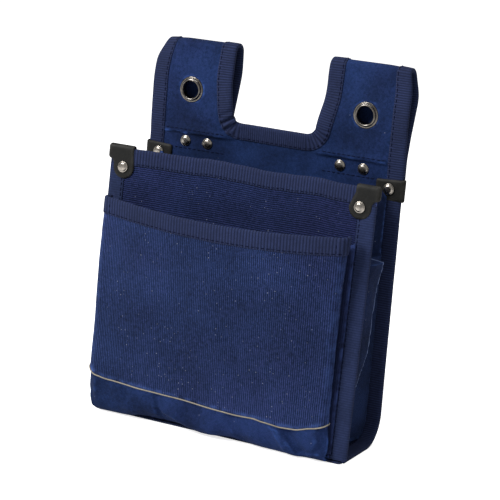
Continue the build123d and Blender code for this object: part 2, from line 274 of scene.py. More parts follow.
@dataclass
class BackSurface:
    """Bottom, heel, back, and the belt loops up over their folds and down to the straps' ends.

    u is x. v is measured along the cloth, and is 0 at the bottom's front edge. Lift is down under the bottom,
    to the rear of the back, and into the belt loops, so a loop's outer faces have a negative lift.
    """

    step: float = 0.5 * MM
    ridge_z: float = 223.5 * MM
    ridge_slopes: Point2 = (1.7 * MM, 4.0 * MM)
    ridge_height: float = 2.0 * MM
    pleat_height: float = 3.4 * MM
    gather_heights: Point2 = (1.3 * MM, 0.6 * MM)
    gather_pitch: float = TURN / 900
    crumple_height: float = 1.7 * MM
    strap_crumple: float = 1.3 * MM
    sag: float = 0.5 * MM
    corners_drawn: Point2 = (7.0 * MM, 2.0 * MM)
    line: list[Point2] = field(init=False)
    length: float = field(init=False)
    fold_v: float = field(init=False)

    def __post_init__(self) -> None:
        """Lays out the side view."""
        skin = STOCK.skin
        back = LAYOUT.back_y + skin
        rear = LAYOUT.loop_rear - skin
        strap = LAYOUT.back_y + STOCK.canvas + 2 * STOCK.tape + skin
        top = LAYOUT.loop_top - skin
        corners = [
            (LAYOUT.foot_y, skin),
            (back, skin),
            (back, top - 34 * MM),
            (back + 4.5 * MM, top),
            (rear, top),
            (rear, top - 23 * MM),
            (strap, LAYOUT.shoulder_z - 8 * MM),
            (strap, LAYOUT.strap_end_z),
        ]
        radii = [LAYOUT.heel_top - skin, 90 * MM, 5.4 * MM, 5.8 * MM, 40 * MM, 30 * MM]
        self.line = rounded_line(corners, radii, self.step)
        self.length = (len(self.line) - 1) * self.step
        self.fold_v = self.v_of(max(range(len(self.line)), key=lambda i: self.line[i][1]))

    def v_of(self, index: int) -> float:
        """Distance along the cloth of one of the side view's points."""
        return self.length * index / (len(self.line) - 1)

    def v_at_height(self, z: float, behind: bool = False) -> float:
        """Finds a height on the cloth.

        Args:
            z: the height, above the heel.
            behind: whether it is wanted on the rear straps.

        Returns:
            The distance along the cloth there.
        """
        above_heel = [i for i, (_, height) in enumerate(self.line) if height > LAYOUT.heel_top]
        wanted = [i for i in above_heel if (self.v_of(i) > self.fold_v) == behind]
        return self.v_of(min(wanted, key=lambda i: abs(self.line[i][1] - z)))

    def _spot(self, v: float) -> tuple[Vector, Vector]:
        """The side view's point and its lift direction at v, each as (y, z)."""
        at = min(max(v / self.length * (len(self.line) - 1), 0.0), len(self.line) - 1.001)
        i = int(at)
        here = Vector(self.line[i]).lerp(Vector(self.line[i + 1]), at - i)
        low, high = Vector(self.line[max(i - 2, 0)]), Vector(self.line[min(i + 3, len(self.line) - 1)])
        run = (high - low).normalized()
        return here, Vector((run.y, -run.x))

    def _slack(self, u: float, z: float) -> float:
        """How free the cloth is to crumple: 0 where an eyelet or a rivet clamps it, 1 away from them."""
        free = smooth(12.0 * MM, 22.0 * MM, math.dist((abs(u), z), LAYOUT.eyelet))
        for rivet in (*LAYOUT.loop_rivets, LAYOUT.corner_rivet):
            free *= smooth(5.0 * MM, 12.0 * MM, math.dist((abs(u), z), rivet))
        return free

    def _swell(self, u: float, v: float, z: float) -> float:
        """How far the cut-out's pleats, the loops' ridges and the crumples stand forward of the flat.

        Args:
            u: place across.
            v: place along the cloth.
            z: height there.

        Returns:
            The distance, 0 behind the loops' folds.
        """
        x = abs(u)
        inner, shoulder = LAYOUT.loop_inner, LAYOUT.shoulder_z
        pleat = bump(inner + 1 * MM, 10 * MM, x) * bump(shoulder + 9 * MM, 15 * MM, z)
        knot = bump(inner - 3 * MM, 9 * MM, x) * bump(shoulder - 1 * MM, 9 * MM, z)
        folds = knot * math.sin((z + 0.6 * x) * TURN / self.gather_pitch + (1.3 if u < 0 else 0.0))
        crest = bump(self.ridge_z, self.ridge_slopes[z > self.ridge_z], z)
        ridge = crest * smooth(34 * MM, 44 * MM, x) * (1 - smooth(97 * MM, 101 * MM, x))
        soft = crumple(u, v, 3.1, 46 * MM) * smooth(190 * MM, 225 * MM, z) * self._slack(u, z)
        pleats = self.pleat_height * pleat + self.gather_heights[u >= 0] * folds
        front_leaf = 1.0 - smooth(self.fold_v - 12 * MM, self.fold_v, v)
        return front_leaf * (pleats + self.ridge_height * ridge + self.crumple_height * soft)

    def place(self, u: float, v: float, lift: float = 0.0) -> Vector:
        """The point at (u, v), lifted.

        Args:
            u: place across.
            v: place along the cloth.
            lift: height off the middle surface.

        Returns:
            The point, never under the floor.
        """
        (y, z), normal = self._spot(v)
        corner = smooth(86 * MM, 114 * MM, abs(u)) * smooth(264 * MM, 301 * MM, z) ** 2.2
        drawn = self.corners_drawn[u >= 0] * corner
        strap = smooth(self.fold_v, self.fold_v + 30 * MM, v)
        loose = crumple(u, v, 8.4, 55 * MM) * strap * smooth(226 * MM, 250 * MM, z) * self.strap_crumple
        panel = smooth(8 * MM, 70 * MM, v) * (1 - smooth(180 * MM, 200 * MM, z))
        sag = crumple(u, v, 5.0, 60 * MM) * self.sag * panel
        narrowed = corner * (5.0 * MM + (2.6 * MM if u > 0 else 0.5 * MM) * strap)
        tuck = corner_tuck(u, 0) * (1 - smooth(0.0, 58 * MM, v))
        forward = self._swell(u, v, z) - drawn * (1 - 0.55 * strap) - loose - sag
        height = z + normal.y * lift - drawn * 0.25 - 0.8 * MM * corner
        return Vector((
            u + tuck - math.copysign(narrowed, u),
            y + normal.x * lift - forward,
            max(height, 0.05 * MM),
        ))


@dataclass
class FrontSurface:
    """The main pocket's front panel. u is x and v runs up the leaning panel; lift is to the front."""

    hollow: float = 6.0 * MM
    crumple_height: float = 0.8 * MM
    wave: float = 1.6 * MM
    up: Vector = field(init=False)
    out: Vector = field(init=False)
    origin: Vector = field(init=False)
    foot: float = field(init=False)
    top: float = field(init=False)

    def __post_init__(self) -> None:
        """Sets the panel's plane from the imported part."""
        lean = LAYOUT.lean
        self.up = Vector((0, math.sin(lean), math.cos(lean)))
        self.out = Vector((0, -math.cos(lean), math.sin(lean)))
        foot_v = LAYOUT.front_foot / math.cos(lean)
        corner = Vector((0, LAYOUT.front_foot_y, LAYOUT.front_foot))
        self.origin = corner - self.up * foot_v - self.out * STOCK.skin
        self.foot = foot_v + 0.2 * MM
        self.top = (LAYOUT.front_top - self.origin.z - self.out.z * STOCK.skin) / math.cos(lean)

    def bow(self, u: float, v: float) -> float:
        """How far the cloth is drawn back towards the inside at (u, v)."""
        across = max(0.0, 1 - (u / (97 * MM)) ** 2) ** 1.4
        loose = 1 - smooth(92 * MM, 98 * MM, abs(u))
        uneven = crumple(u, v, 1.7, 60 * MM) * self.crumple_height * loose
        return self.hollow * smooth(100 * MM, 205 * MM, v) * across + uneven

    def place(self, u: float, v: float, lift: float = 0.0) -> Vector:
        """The point at (u, v), lifted to the front.

        Args:
            u: place across.
            v: place up the panel.
            lift: height off the middle surface.

        Returns:
            The point.
        """
        loose = smooth(150 * MM, 210 * MM, v) * (1 - smooth(78 * MM, 94 * MM, abs(u)))
        v += crumple(u, 0.0, 9.1, 42 * MM) * self.wave * loose
        spot = self.origin + self.up * v + self.out * (lift - self.bow(u, v))
        return Vector((u + corner_tuck(u, v), spot.y, spot.z))

    def y_at_height(self, z: float) -> float:
        """The y of the panel's flat middle surface at height z."""
        return self.origin.y + self.up.y * (z - self.origin.z) / self.up.z


@dataclass
class PocketSurface:
    """The second pocket's bowed front, with its sides turned back.

    u is the distance across the cloth from its middle, v the height above the seam as a share of the panel's,
    and lift is to the front.
    """

    corner_radius: float = 6.0 * MM
    seam_depth: float = 80.0 * MM
    mouth_depth: float = 76.0 * MM
    seam_crown: float = 1.5 * MM
    mouth_crown: float = 12.0 * MM
    droop: float = 5.0 * MM
    right_half: Table = (
        (4, 100.5), (13, 101.5), (36, 99.4), (60, 98.8), (95, 98.8), (135, 99.8), (160, 101), (176, 102.6),
    )
    left_half: Table = (
        (4, 101.5), (8, 106.4), (14, 109.4), (21, 110.6), (50, 110), (85, 109.4), (116, 108.8), (149, 107.6),
        (176, 106),
    )
    seam_wave: Table = (
        (-112, 37), (-103, 31), (-92, 29.4), (-60, 28), (-30, 27), (0, 25.4), (26, 24.3), (40, 24.6),
        (48, 23.6), (62, 22.6), (76, 23.4), (90, 27), (104, 31.5),
    )

    def half_width(self, z: float, side: float) -> float:
        """Half the pocket's width at a height, on one side."""
        return read_table(self.right_half if side > 0 else self.left_half, z)

    def seam_height(self, x: float) -> float:
        """Height of the wavy seam above the band."""
        return read_table(self.seam_wave, x)

    def mouth_height(self, x: float) -> float:
        """Height of the drooping mouth."""
        return LAYOUT.pocket_top - self.droop * max(0.0, 1 - (x / (104 * MM)) ** 2) ** 1.2

    def front_y(self, x: float, z: float) -> float:
        """The y of the cloth's middle surface, away from its side edges.

        Args:
            x: place across.
            z: height.

        Returns:
            The y there.
        """
        share = (z - LAYOUT.seam_z) / (LAYOUT.pocket_top - LAYOUT.seam_z)
        crown = mix(self.seam_crown, self.mouth_crown, max(0.0, share) ** 1.25)
        lean_in = max(-1.0, min(1.0, (x + 8 * MM) / (110 * MM)))
        depth = mix(self.seam_depth, self.mouth_depth, share) - STOCK.skin
        waves = 0.7 * MM * math.sin(x * 95 + z * 22) * (1 - share)
        ripple = crumple(x, z, 6.3, 52 * MM) * 1.1 * MM + waves
        dent = 1.6 * MM * bump(86 * MM, 16 * MM, x) * bump(60 * MM, 60 * MM, z)
        return LAYOUT.y_at(depth + crown * (1 - lean_in**2) + ripple - dent)

    def place(self, u: float, v: float, lift: float = 0.0) -> Vector:
        """The point at (u, v), lifted to the front.

        Args:
            u: distance across the cloth; past the corners it runs back along the turned sides.
            v: share of the height.
            lift: height off the middle surface.

        Returns:
            The point.
        """
        side = 1.0 if u > 0 else -1.0
        z = mix(self.seam_height(u), self.mouth_height(u), v)
        radius = self.corner_radius
        flat = self.half_width(z, side) - radius
        over = abs(u) - flat
        if over <= 0:
            return Vector((u, self.front_y(u, z) - lift, z))
        angle = min(over / radius, math.pi / 2)
        past = max(0.0, over - radius * math.pi / 2)
        x = flat + (radius + lift) * math.sin(angle) - past * 0.35
        y = self.front_y(side * flat, z) + radius - (radius + lift) * math.cos(angle) + past
        return Vector((side * x, y, z))


@dataclass(frozen=True)
class Fold:
    """A crease in the band: a line with a steep side and a gentle side, in millimetres."""

    start: Point2
    end: Point2
    width: float
    height: float

    def rise(self, x: float, z: float) -> float:
        """The fold's height at a place.

        Args:
            x: place across.
            z: height.

        Returns:
            How far the cloth stands out there, in metres.
        """
        a, b, p = Vector(self.start), Vector(self.end), Vector((x / MM, z / MM))
        run = b - a
        share = min(1.0, max(0.0, (p - a).dot(run) / run.length_squared))
        gap = (p - (a + run * share)).length
        spread = self.width * (0.45 if run.cross(p - a) < 0 else 1.5)
        return 1.8 * self.height * MM * math.exp(-((gap / spread) ** 2))


@dataclass
class BandSurface:
    """Plain cloth from the wavy seam down and under to the base seam. v is 0 at the seam, 1 at the base."""

    pocket: PocketSurface
    radius: float = 9.5 * MM
    belly: float = 1.2 * MM
    crumple_height: float = 1.8 * MM
    side_tuck: float = 5.5 * MM
    sag: float = 2.2 * MM
    lowest: float = 0.4 * MM
    folds: tuple[Fold, ...] = (
        Fold((58, 27), (86, 2), 3.4, -2.4),
        Fold((52, 26), (74, 3), 4.5, 1.2),
        Fold((96, 9), (70, 3), 3.0, 1.6),
        Fold((-46, 26), (-40, 4), 5.0, -1.6),
        Fold((-38, 14), (8, 3), 5.0, 1.5),
        Fold((-74, 20), (-60, 6), 6.0, -0.8),
        Fold((20, 22), (32, 4), 7.0, -1.0),
        Fold((104, 26), (92, 8), 4.0, -1.4),
    )

    def _section(self, u: float, v: float) -> tuple[Vector, Vector, float]:
        """The band's smooth section: down from the seam, round the bend and back under.

        Args:
            u: place across.
            v: share of the way from the seam to the base.

        Returns:
            The point and its lift direction, each as (y, z), and the share of the drop and half the bend.
        """
        seam = self.pocket.seam_height(u)
        low = LAYOUT.band_low + STOCK.skin
        drop = seam - low - self.radius
        arc = self.radius * math.pi / 2
        under = self.pocket.front_y(0, LAYOUT.seam_z)
        total = drop + arc + (LAYOUT.band_rear - under - self.radius)
        along = v * total
        front = self.pocket.front_y(max(-98 * MM, min(98 * MM, u)), seam)
        seen = min(1.0, along / (drop + arc * 0.5))
        if along <= drop:
            return Vector((front, seam - along)), Vector((-1, 0)), seen
        if along <= drop + arc:
            out = Vector((-math.cos((along - drop) / self.radius), -math.sin((along - drop) / self.radius)))
            return Vector((front + self.radius, low + self.radius)) + out * self.radius, out, seen
        share = (along - drop - arc) / (total - drop - arc)
        return Vector((mix(front + self.radius, LAYOUT.band_rear, share), low)), Vector((0, -1)), seen

    def place(self, u: float, v: float, lift: float = 0.0) -> Vector:
        """The point at (u, v), lifted outwards.

        Args:
            u: place across.
            v: share of the way from the seam to the base.
            lift: height off the middle surface.

        Returns:
            The point, clear of the floor.
        """
        (y, z), normal, seen = self._section(u, v)
        puff = sum(fold.rise(u, z) for fold in self.folds)
        puff += crumple(u, z, 2.9, 21 * MM) * self.crumple_height
        puff *= smooth(0.0, 0.1, v) * (1 - smooth(0.62, 0.9, v))
        half = self.pocket.half_width(z, u)
        squeeze = 1 - smooth(half - 9 * MM, half + 1 * MM, abs(u))
        tuck = (1 - squeeze) * self.side_tuck * (1 - smooth(0.5, 0.85, v))
        raised = 2.6 * MM * bump(-44 * MM, 24 * MM, u) + 1.2 * MM * bump(20 * MM, 20 * MM, u)
        sagging = smooth(0.3, 0.8, v) * (1 - smooth(0.86, 1.0, v)) * smooth(1.6 * MM, 0.4 * MM, raised)
        z += raised * smooth(0.35, 1.0, v) - self.sag * sagging
        lift += (puff + self.belly * math.sin(math.pi * seen)) * squeeze
        held = lift if abs(lift) <= STOCK.skin else STOCK.skin + 0.35 * (lift - STOCK.skin)
        x = math.copysign(min(abs(u), half), u)
        return Vector((x, y + normal.x * lift + tuck, max(z + normal.y * held, self.lowest)))


@dataclass
class EdgeWrap:
    """Another surface carried round its side edge, its top edge, or both, onto its rear face.

    side_u and top_v are where its edges are. A wrapped sheet keeps its length at a lift of radius.
    """

    base: Surface
    side_u: float
    top_v: float
    radius: float

    def place(self, u: float, v: float, lift: float = 0.0) -> Vector:
        """The point at (u, v), which may lie past the edges.

        Args:
            u: place across.
            v: place along.
            lift: height off the surface's front face, and past an edge off its rear face.

        Returns:
            The point.
        """
        side = 1.0 if u > 0 else -1.0
        over_u, over_v = max(0.0, abs(u) - self.side_u), max(0.0, v - self.top_v)
        over = math.hypot(over_u, over_v)
        if over == 0:
            return self.base.place(u, v, lift)
        angle = over / self.radius
        if angle < math.pi:
            out, up = lift * math.sin(angle), lift * math.cos(angle)
        else:
            out, up = -(over - math.pi * self.radius), -lift
        edge_u, edge_v = min(abs(u), self.side_u), min(v, self.top_v)
        return self.base.place(side * (edge_u + over_u / over * out), edge_v + over_v / over * out, up)


@dataclass
class Flipped:
    """A surface seen from its other side, so that lift points the other way."""

    base: Surface

    def place(self, u: float, v: float, lift: float = 0.0) -> Vector:
        """The point at (u, v), lifted the other way."""
        return self.base.place(u, v, -lift)


@dataclass
class Scaled:
    """A surface whose v is a distance, though the surface it covers counts v as a share of a length."""

    base: Surface
    length: float

    def place(self, u: float, v: float, lift: float = 0.0) -> Vector:
        """The point at u and a distance along the length."""
        return self.base.place(u, v / self.length, lift)


# ------------------------------------------------------------------------------------- mesh drafting


@dataclass
class Draft:
    """A mesh being drawn up: its points, faces, and the cloth coordinates of each point."""

    points: list[Vector] = field(default_factory=list)
    faces: list[tuple[int, ...]] = field(default_factory=list)
    marks: list[Point2] = field(default_factory=list)

    def add(self, point: Vector, mark: Point2) -> int:
        """Adds a point and returns its number."""
        self.points.append(point)
        self.marks.append(mark)
        return len(self.points) - 1

    def skin_over(self, rings: Sequence[Sequence[int]], capped: bool = True) -> None:
        """Joins closed rings of equal length with quads.

        Args:
            rings: numbers of each ring's points.
            capped: whether the first and the last ring are closed with a face each.
        """
        for a, b in zip(rings, rings[1:]):
            for i in range(len(a)):
                j = (i + 1) % len(a)
                self.faces.append((a[i], a[j], b[j], b[i]))
        if capped:
            self.faces += [tuple(reversed(rings[0])), tuple(rings[-1])]

    def merge(self, other: "Draft") -> None:
        """Adds another draft's mesh to this one."""
        start = len(self.points)
        self.points += other.points
        self.marks += other.marks
        self.faces += [tuple(i + start for i in face) for face in other.faces]

    def build(self, name: str, material: bpy.types.Material) -> bpy.types.Object:
        """Makes the Blender object, smooth shaded and with its normals outwards.

        Args:
            name: the object's name.
            material: what it is made of.

        Returns:
            The new object, linked to the scene.
        """
        mesh = bpy.data.meshes.new(name)
        mesh.from_pydata([tuple(point) for point in self.points], [], self.faces)
        layer = mesh.uv_layers.new(name="Cloth")
        for loop in mesh.loops:
            layer.data[loop.index].uv = self.marks[loop.vertex_index]
        work = bmesh.new()
        work.from_mesh(mesh)
        bmesh.ops.recalc_face_normals(work, faces=work.faces)
        work.to_mesh(mesh)
        work.free()
        mesh.shade_smooth()
        mesh.materials.append(material)
        made = bpy.data.objects.new(name, mesh)
        bpy.context.scene.collection.objects.link(made)
        return made


@dataclass
class Cutting:
    """A flat cut of cloth as a grid of cells clipped to its outline."""

    spots: list[Point2]
    cells: list[tuple[int, ...]]

    @classmethod
    def from_outline(cls, outline: Sequence[Point2], cell: Point2, rows: Iterable[float] = ()) -> "Cutting":
        """Cuts the cloth along its outline and divides it.

        Args:
            outline: the corners of the cut, in order.
            cell: width and height of a cell.
            rows: further places along the cloth where it is divided.

        Returns:
            The divided cut.
        """
        work = bmesh.new()
        work.faces.new([work.verts.new((u, v, 0)) for u, v in outline])
        for axis, size in enumerate(cell):
            low = min(spot[axis] for spot in outline)
            high = max(spot[axis] for spot in outline)
            count = max(1, round((high - low) / size))
            places = [mix(low, high, i / count) for i in range(1, count)]
            if axis == 1:
                places = sorted(set(places) | set(rows))
            normal = Vector((1, 0, 0)) if axis == 0 else Vector((0, 1, 0))
            for place in places:
                whole = work.verts[:] + work.edges[:] + work.faces[:]
                bmesh.ops.bisect_plane(work, geom=whole, dist=1e-6, plane_co=normal * place, plane_no=normal)
        work.verts.index_update()
        spots = [(vert.co.x, vert.co.y) for vert in work.verts]
        cells = [tuple(vert.index for vert in face.verts) for face in work.faces]
        work.free()
        return cls(spots, cells)

    def punched(self, centre: Point2, radius: float) -> "Cutting":
        """The cut with a hole, where every cell that reaches inside the radius is dropped."""
        outside = [math.dist(spot, centre) > radius for spot in self.spots]
        return Cutting(self.spots, [cell for cell in self.cells if all(outside[i] for i in cell)])

    def sewn(self, surface: Surface, low: Lift, high: Lift) -> Draft:
        """Lays the cut on a surface as a closed sheet.

        Args:
            surface: what it is laid on.
            low: lift of its underside at a place.
            high: lift of its upper side at a place.

        Returns:
            The sheet.
        """
        used = sorted({i for cell in self.cells for i in cell})
        number = {spot: i for i, spot in enumerate(used)}
        draft = Draft()
        for lift in (low, high):
            for i in used:
                u, v = self.spots[i]
                draft.add(surface.place(u, v, lift(u, v)), (u, v))
        count = len(used)
        border: dict[tuple[int, int], None] = {}
        for cell in self.cells:
            ring = [number[i] for i in cell]
            draft.faces.append(tuple(reversed(ring)))
            draft.faces.append(tuple(i + count for i in ring))
            for a, b in zip(ring, ring[1:] + ring[:1]):
                if (b, a) in border:
                    del border[(b, a)]
                else:
                    border[(a, b)] = None
        draft.faces += [(a, b, b + count, a + count) for a, b in border]
        return draft

    def cloth(self, surface: Surface, thickness: float = STOCK.canvas) -> Draft:
        """The cut laid on a surface as a sheet of even thickness about its middle."""
        return self.sewn(surface, level(-thickness / 2), level(thickness / 2))


def level(lift: float) -> Lift:
    """A lift that is the same everywhere."""
    return lambda u, v: lift


def pillow(outline: Sequence[Point2], base: float, thickness: float, radius: float) -> Lift:
    """The lift of a sheet's upper side whose cut edge is rounded off.

    Args:
        outline: the sheet's outline.
        base: lift of its underside.
        thickness: its full thickness.
        radius: how far in from the edge the rounding reaches.

    Returns:
        The lift at a place.
    """
    corners = [Vector(spot) for spot in outline]
    runs = list(zip(corners, corners[1:] + corners[:1]))

    def lift(u: float, v: float) -> float:
        """The lift at (u, v), from its distance to the nearest edge."""
        spot = Vector((u, v))
        gap = radius
        for a, b in runs:
            run = b - a
            share = min(1.0, max(0.0, (spot - a).dot(run) / max(run.length_squared, 1e-12)))
            gap = min(gap, (spot - (a + run * share)).length)
        rise = 1 - gap / radius
        return base + thickness * (0.35 + 0.65 * math.sqrt(max(0.0, 1 - rise * rise)))

    return lift


@dataclass
class Hem:
    """An edge to be bound: its points on a surface, and the way into the cloth from each."""

    surface: Surface
    edge: list[Point2]
    inward: list[Point2]

    @classmethod
    def along(
        cls, surface: Surface, corners: Sequence[Point2], left: bool, step: float, radii: Sequence[float] = ()
    ) -> "Hem":
        """Follows a line on a surface.

        Args:
            surface: the cloth.
            corners: the edge's corners.
            left: whether the cloth is to the left of the line.
            step: distance between points.
            radii: the roundings between its ends.

        Returns:
            The hem.
        """
        edge = rounded_line(corners, radii, step)
        inward = []
        for i in range(len(edge)):
            a, b = Vector(edge[max(i - 1, 0)]), Vector(edge[min(i + 1, len(edge) - 1)])
            run = (b - a).normalized()
            inward.append((-run.y, run.x) if left else (run.y, -run.x))
        return cls(surface, edge, inward)

    def spot(self, index: int, inset: float) -> Point2:
        """The place this far in from an edge point."""
        (u, v), (du, dv) = self.edge[index], self.inward[index]
        return u + du * inset, v + dv * inset


@dataclass
class Tape:
    """Ribbed tape folded over a hem, its leaves reaching this width in, with ribs this high."""

    hem: Hem
    width: float = STOCK.tape_width
    ribs: float = 0.12 * MM

    @staticmethod
    def step(pitch: float = STOCK.rib_pitch) -> float:
        """Distance between the points of a hem that suits ribs of this pitch."""
        return pitch / SAMPLES_PER_RIB

    def section(self) -> list[tuple[float, float, float]]:
        """The tape's section, round its outside and back along its inside.

        Returns:
            Points as (inset, lift, share of the ribs' height).
        """
        w, skin, top = self.width, STOCK.skin, STOCK.tape_top
        outside = [
            (w, skin + 0.05 * MM, 0.0),
            (w + 0.15 * MM, skin + 0.45 * MM, 0.3),
            (w - 0.5 * MM, top - 0.02 * MM, 1.0),
            (w * 0.72, top + 0.12 * MM, 1.0),
            (w * 0.45, top + 0.12 * MM, 0.75),
            (w * 0.2, top + 0.12 * MM, 0.45),
            (0.0, top - 0.05 * MM, 0.3),
            (-0.55 * MM, top - 0.7 * MM, 0.25),
            (-0.85 * MM, 0.0, 0.25),
        ]
        mirrored = [(inset, -lift, rib) for inset, lift, rib in reversed(outside[:-1])]
        return [*outside, *mirrored, (0.2 * MM, -skin, 0.0), (0.2 * MM, skin, 0.0)]

    def draft(self) -> Draft:
        """The tape's mesh."""
        made = Draft()
        section = self.section()
        round_marks = [0.0]
        for a, b in zip(section, section[1:]):
            round_marks.append(round_marks[-1] + math.dist(a[:2], b[:2]))
        rings = []
        for index in range(len(self.hem.edge)):
            phase = TURN * index / SAMPLES_PER_RIB
            wave = self.ribs * (math.cos(phase) - 0.35 * math.cos(2 * phase))
            along = index * self.step()
            ring = []
            for (inset, lift, share), round_mark in zip(section, round_marks):
                rib = wave * share
                u, v = self.hem.spot(index, inset if lift else inset - rib)
                height = lift + math.copysign(rib, lift) if lift else lift
                ring.append(made.add(self.hem.surface.place(u, v, height), (along, round_mark)))
            rings.append(ring)
        made.skin_over(rings)
        return made


@dataclass
class StitchRow:
    """A row of lockstitches along a path on a surface, at the lift of the cloth's face."""

    surface: Surface
    path: Sequence[Point2]
    lift: float
    step: float = 0.6 * MM
    sides: int = 6

    def draft(self) -> Draft:
        """Every stitch of the row as a bowed, tapering strand."""
        made = Draft()
        path = even_line(self.path, self.step)
        per_stitch = round(STOCK.stitch / self.step)
        per_gap = round(STOCK.stitch_gap / self.step)
        for start in range(0, len(path) - per_stitch, per_stitch + per_gap):
            self._stitch(made, path[start : start + per_stitch + 1])
        return made

    def _stitch(self, made: Draft, path: Sequence[Point2]) -> None:
        """Draws one stitch.

        Args:
            made: the draft that it is added to.
            path: its own short path.
        """
        last = len(path) - 1
        away = math.copysign(1.0, self.lift)
        spots = []
        for i, (u, v) in enumerate(path):
            rise = STOCK.thread * (1.1 * math.sin(math.pi * i / last) - 0.1)
            spots.append(self.surface.place(u, v, self.lift + away * rise))
        foot, head = (self.surface.place(*path[0], self.lift + rise) for rise in (0.0, away * MM))
        rings = []
        for i, spot in enumerate(spots):
            across, above = square_to(spots, i, head - foot)
            radius = STOCK.thread * (0.45 + 0.55 * math.sin(math.pi * (0.12 + 0.76 * i / last)))
            ring = []
            for k in range(self.sides):
                angle = TURN * k / self.sides + 0.5 * i
                offset = across * math.cos(angle) + above * math.sin(angle)
                ring.append(made.add(spot + offset * radius, (i * self.step, k * 0.2 * MM)))
            rings.append(ring)
        made.skin_over(rings)


def square_to(path: Sequence[Vector], index: int, up: Vector) -> tuple[Vector, Vector]:
    """Finds the two directions square to a path.

    Args:
        path: its points.
        index: which point.
        up: roughly upwards there.

    Returns:
        The directions across the path and above it.
    """
    run = (path[min(index + 1, len(path) - 1)] - path[max(index - 1, 0)]).normalized()
    across = run.cross(up).normalized()
    return across, across.cross(run)


def strand(path: Sequence[Vector], radius: float, sides: int = 8) -> Draft:
    """A round cord with closed ends.

    Args:
        path: points in space.
        radius: the cord's radius.
        sides: how many sides its section has.

    Returns:
        Its mesh.
    """
    made = Draft()
    rings = []
    distance = 0.0
    for i, spot in enumerate(path):
        across, above = square_to(path, i, Vector((0, 0, 1)))
        distance += (spot - path[max(i - 1, 0)]).length
        ring = []
        for k in range(sides):
            angle = TURN * k / sides
            offset = across * math.cos(angle) + above * math.sin(angle)
            ring.append(made.add(spot + offset * radius, (distance, k * radius)))
        rings.append(ring)
    made.skin_over(rings)
    return made


def turned(profile: Sequence[Point2], place: Matrix, segments: int = 40) -> Draft:
    """A turned piece.

    Args:
        profile: its (radius, height) points; a ring's profile ends where it starts.
        place: where it stands, turned about its own Z axis.
        segments: how many sides it has.

    Returns:
        Its mesh.
    """
    made = Draft()
    rings = []
    for radius, height in profile:
        reach = max(radius, 1e-6)
        ring = []
        for k in range(segments):
            angle = TURN * k / segments
            spot = place @ Vector((reach * math.cos(angle), reach * math.sin(angle), height))
            ring.append(made.add(spot, (angle * 4 * MM, radius + height)))
        rings.append(ring)
    made.skin_over(rings, capped=profile[0] != profile[-1])
    return made


def facing(spot: Vector, out: Vector) -> Matrix:
    """A place whose Z axis points outwards."""
    return Matrix.Translation(spot) @ out.to_track_quat("Z", "Y").to_matrix().to_4x4()


# ----------------------------------------------------------------------------------------- finishes


MIX_COLOUR_A, MIX_COLOUR_B, MIX_COLOUR_RESULT = 6, 7, 2


@dataclass
class Wiring:
    """Adds nodes to a tree and joins their sockets."""

    tree: bpy.types.NodeTree

    def feed(self, socket: Socket, value: object) -> None:
        """Gives an input a value, or links another node's output to it."""
        if isinstance(value, bpy.types.NodeSocket):
            self.tree.links.new(value, socket)
        else:
            socket.default_value = value

    def add(
        self, kind: str, inputs: dict[str | int, object] | None = None, **settings: object
    ) -> bpy.types.Node:
        """Adds a node.

        Args:
            kind: the node's type, without its ShaderNode prefix.
            inputs: values or sockets for its inputs, by name or number.
            settings: its own properties.

        Returns:
            The node.
        """
        node = self.tree.nodes.new("ShaderNode" + kind)
        for key, value in settings.items():
            setattr(node, key, value)
        for key, value in (inputs or {}).items():
            self.feed(node.inputs[key], value)
        return node

    def math(self, operation: str, *values: object) -> Socket:
        """A Math node's result."""
        return self.add("Math", dict(enumerate(values)), operation=operation).outputs[0]

    def noise(self, place: Socket, scale: object, detail: float, roughness: float = 0.5) -> Socket:
        """A Noise texture's value.

        Args:
            place: where it is read.
            scale: how many hills there are in a metre.
            detail: how many finer layers it has.
            roughness: how strong they are.

        Returns:
            The value, 0 to 1.
        """
        inputs = {"Vector": place, "Scale": scale, "Detail": detail, "Roughness": roughness}
        return self.add("TexNoise", inputs).outputs[0]

    def ramp(self, value: Socket, low: object, high: object) -> Socket:
        """A value stretched so that low becomes 0 and high becomes 1, and held between them."""
        return self.add("MapRange", {0: value, 1: low, 2: high}, clamp=True).outputs[0]

    def blend(self, share: object, a: object, b: object, how: str = "MIX") -> Socket:
        """Two colours mixed.

        Args:
            share: how much of b there is.
            a: the first colour.
            b: the second colour.
            how: the way they are blended.

        Returns:
            The mixed colour.
        """
        colours = {MIX_COLOUR_A: a, MIX_COLOUR_B: b}
        node = self.add("Mix", data_type="RGBA", blend_type=how)
        for number, value in {0: share, **colours}.items():
            self.feed(node.inputs[number], value)
        return node.outputs[MIX_COLOUR_RESULT]


class Effect:
    """A shader node group with named inputs and outputs, built once."""

    def __init__(self, name: str, inputs: dict[str, float | None], outputs: dict[str, str]) -> None:
        """Opens the group.

        Args:
            name: what the group is called.
            inputs: each number input's default; None makes a vector input.
            outputs: each output's socket type.
        """
        tree = bpy.data.node_groups.new(name, "ShaderNodeTree")
        for socket_name, default in inputs.items():
            kind = "NodeSocketVector" if default is None else "NodeSocketFloat"
            socket = tree.interface.new_socket(socket_name, in_out="INPUT", socket_type=kind)
            if default is not None:
                socket.default_value = default
        for socket_name, kind in outputs.items():
            tree.interface.new_socket(socket_name, in_out="OUTPUT", socket_type=kind)
        self.tree = tree
        self.wiring = Wiring(tree)
        self.inputs = tree.nodes.new("NodeGroupInput").outputs
        self.result = tree.nodes.new("NodeGroupOutput")

    def give(self, **values: Socket) -> bpy.types.NodeTree:
        """Joins the group's outputs and returns its tree."""
        for name, socket in values.items():
            self.tree.links.new(socket, self.result.inputs[name.replace("_", " ")])
        return self.tree


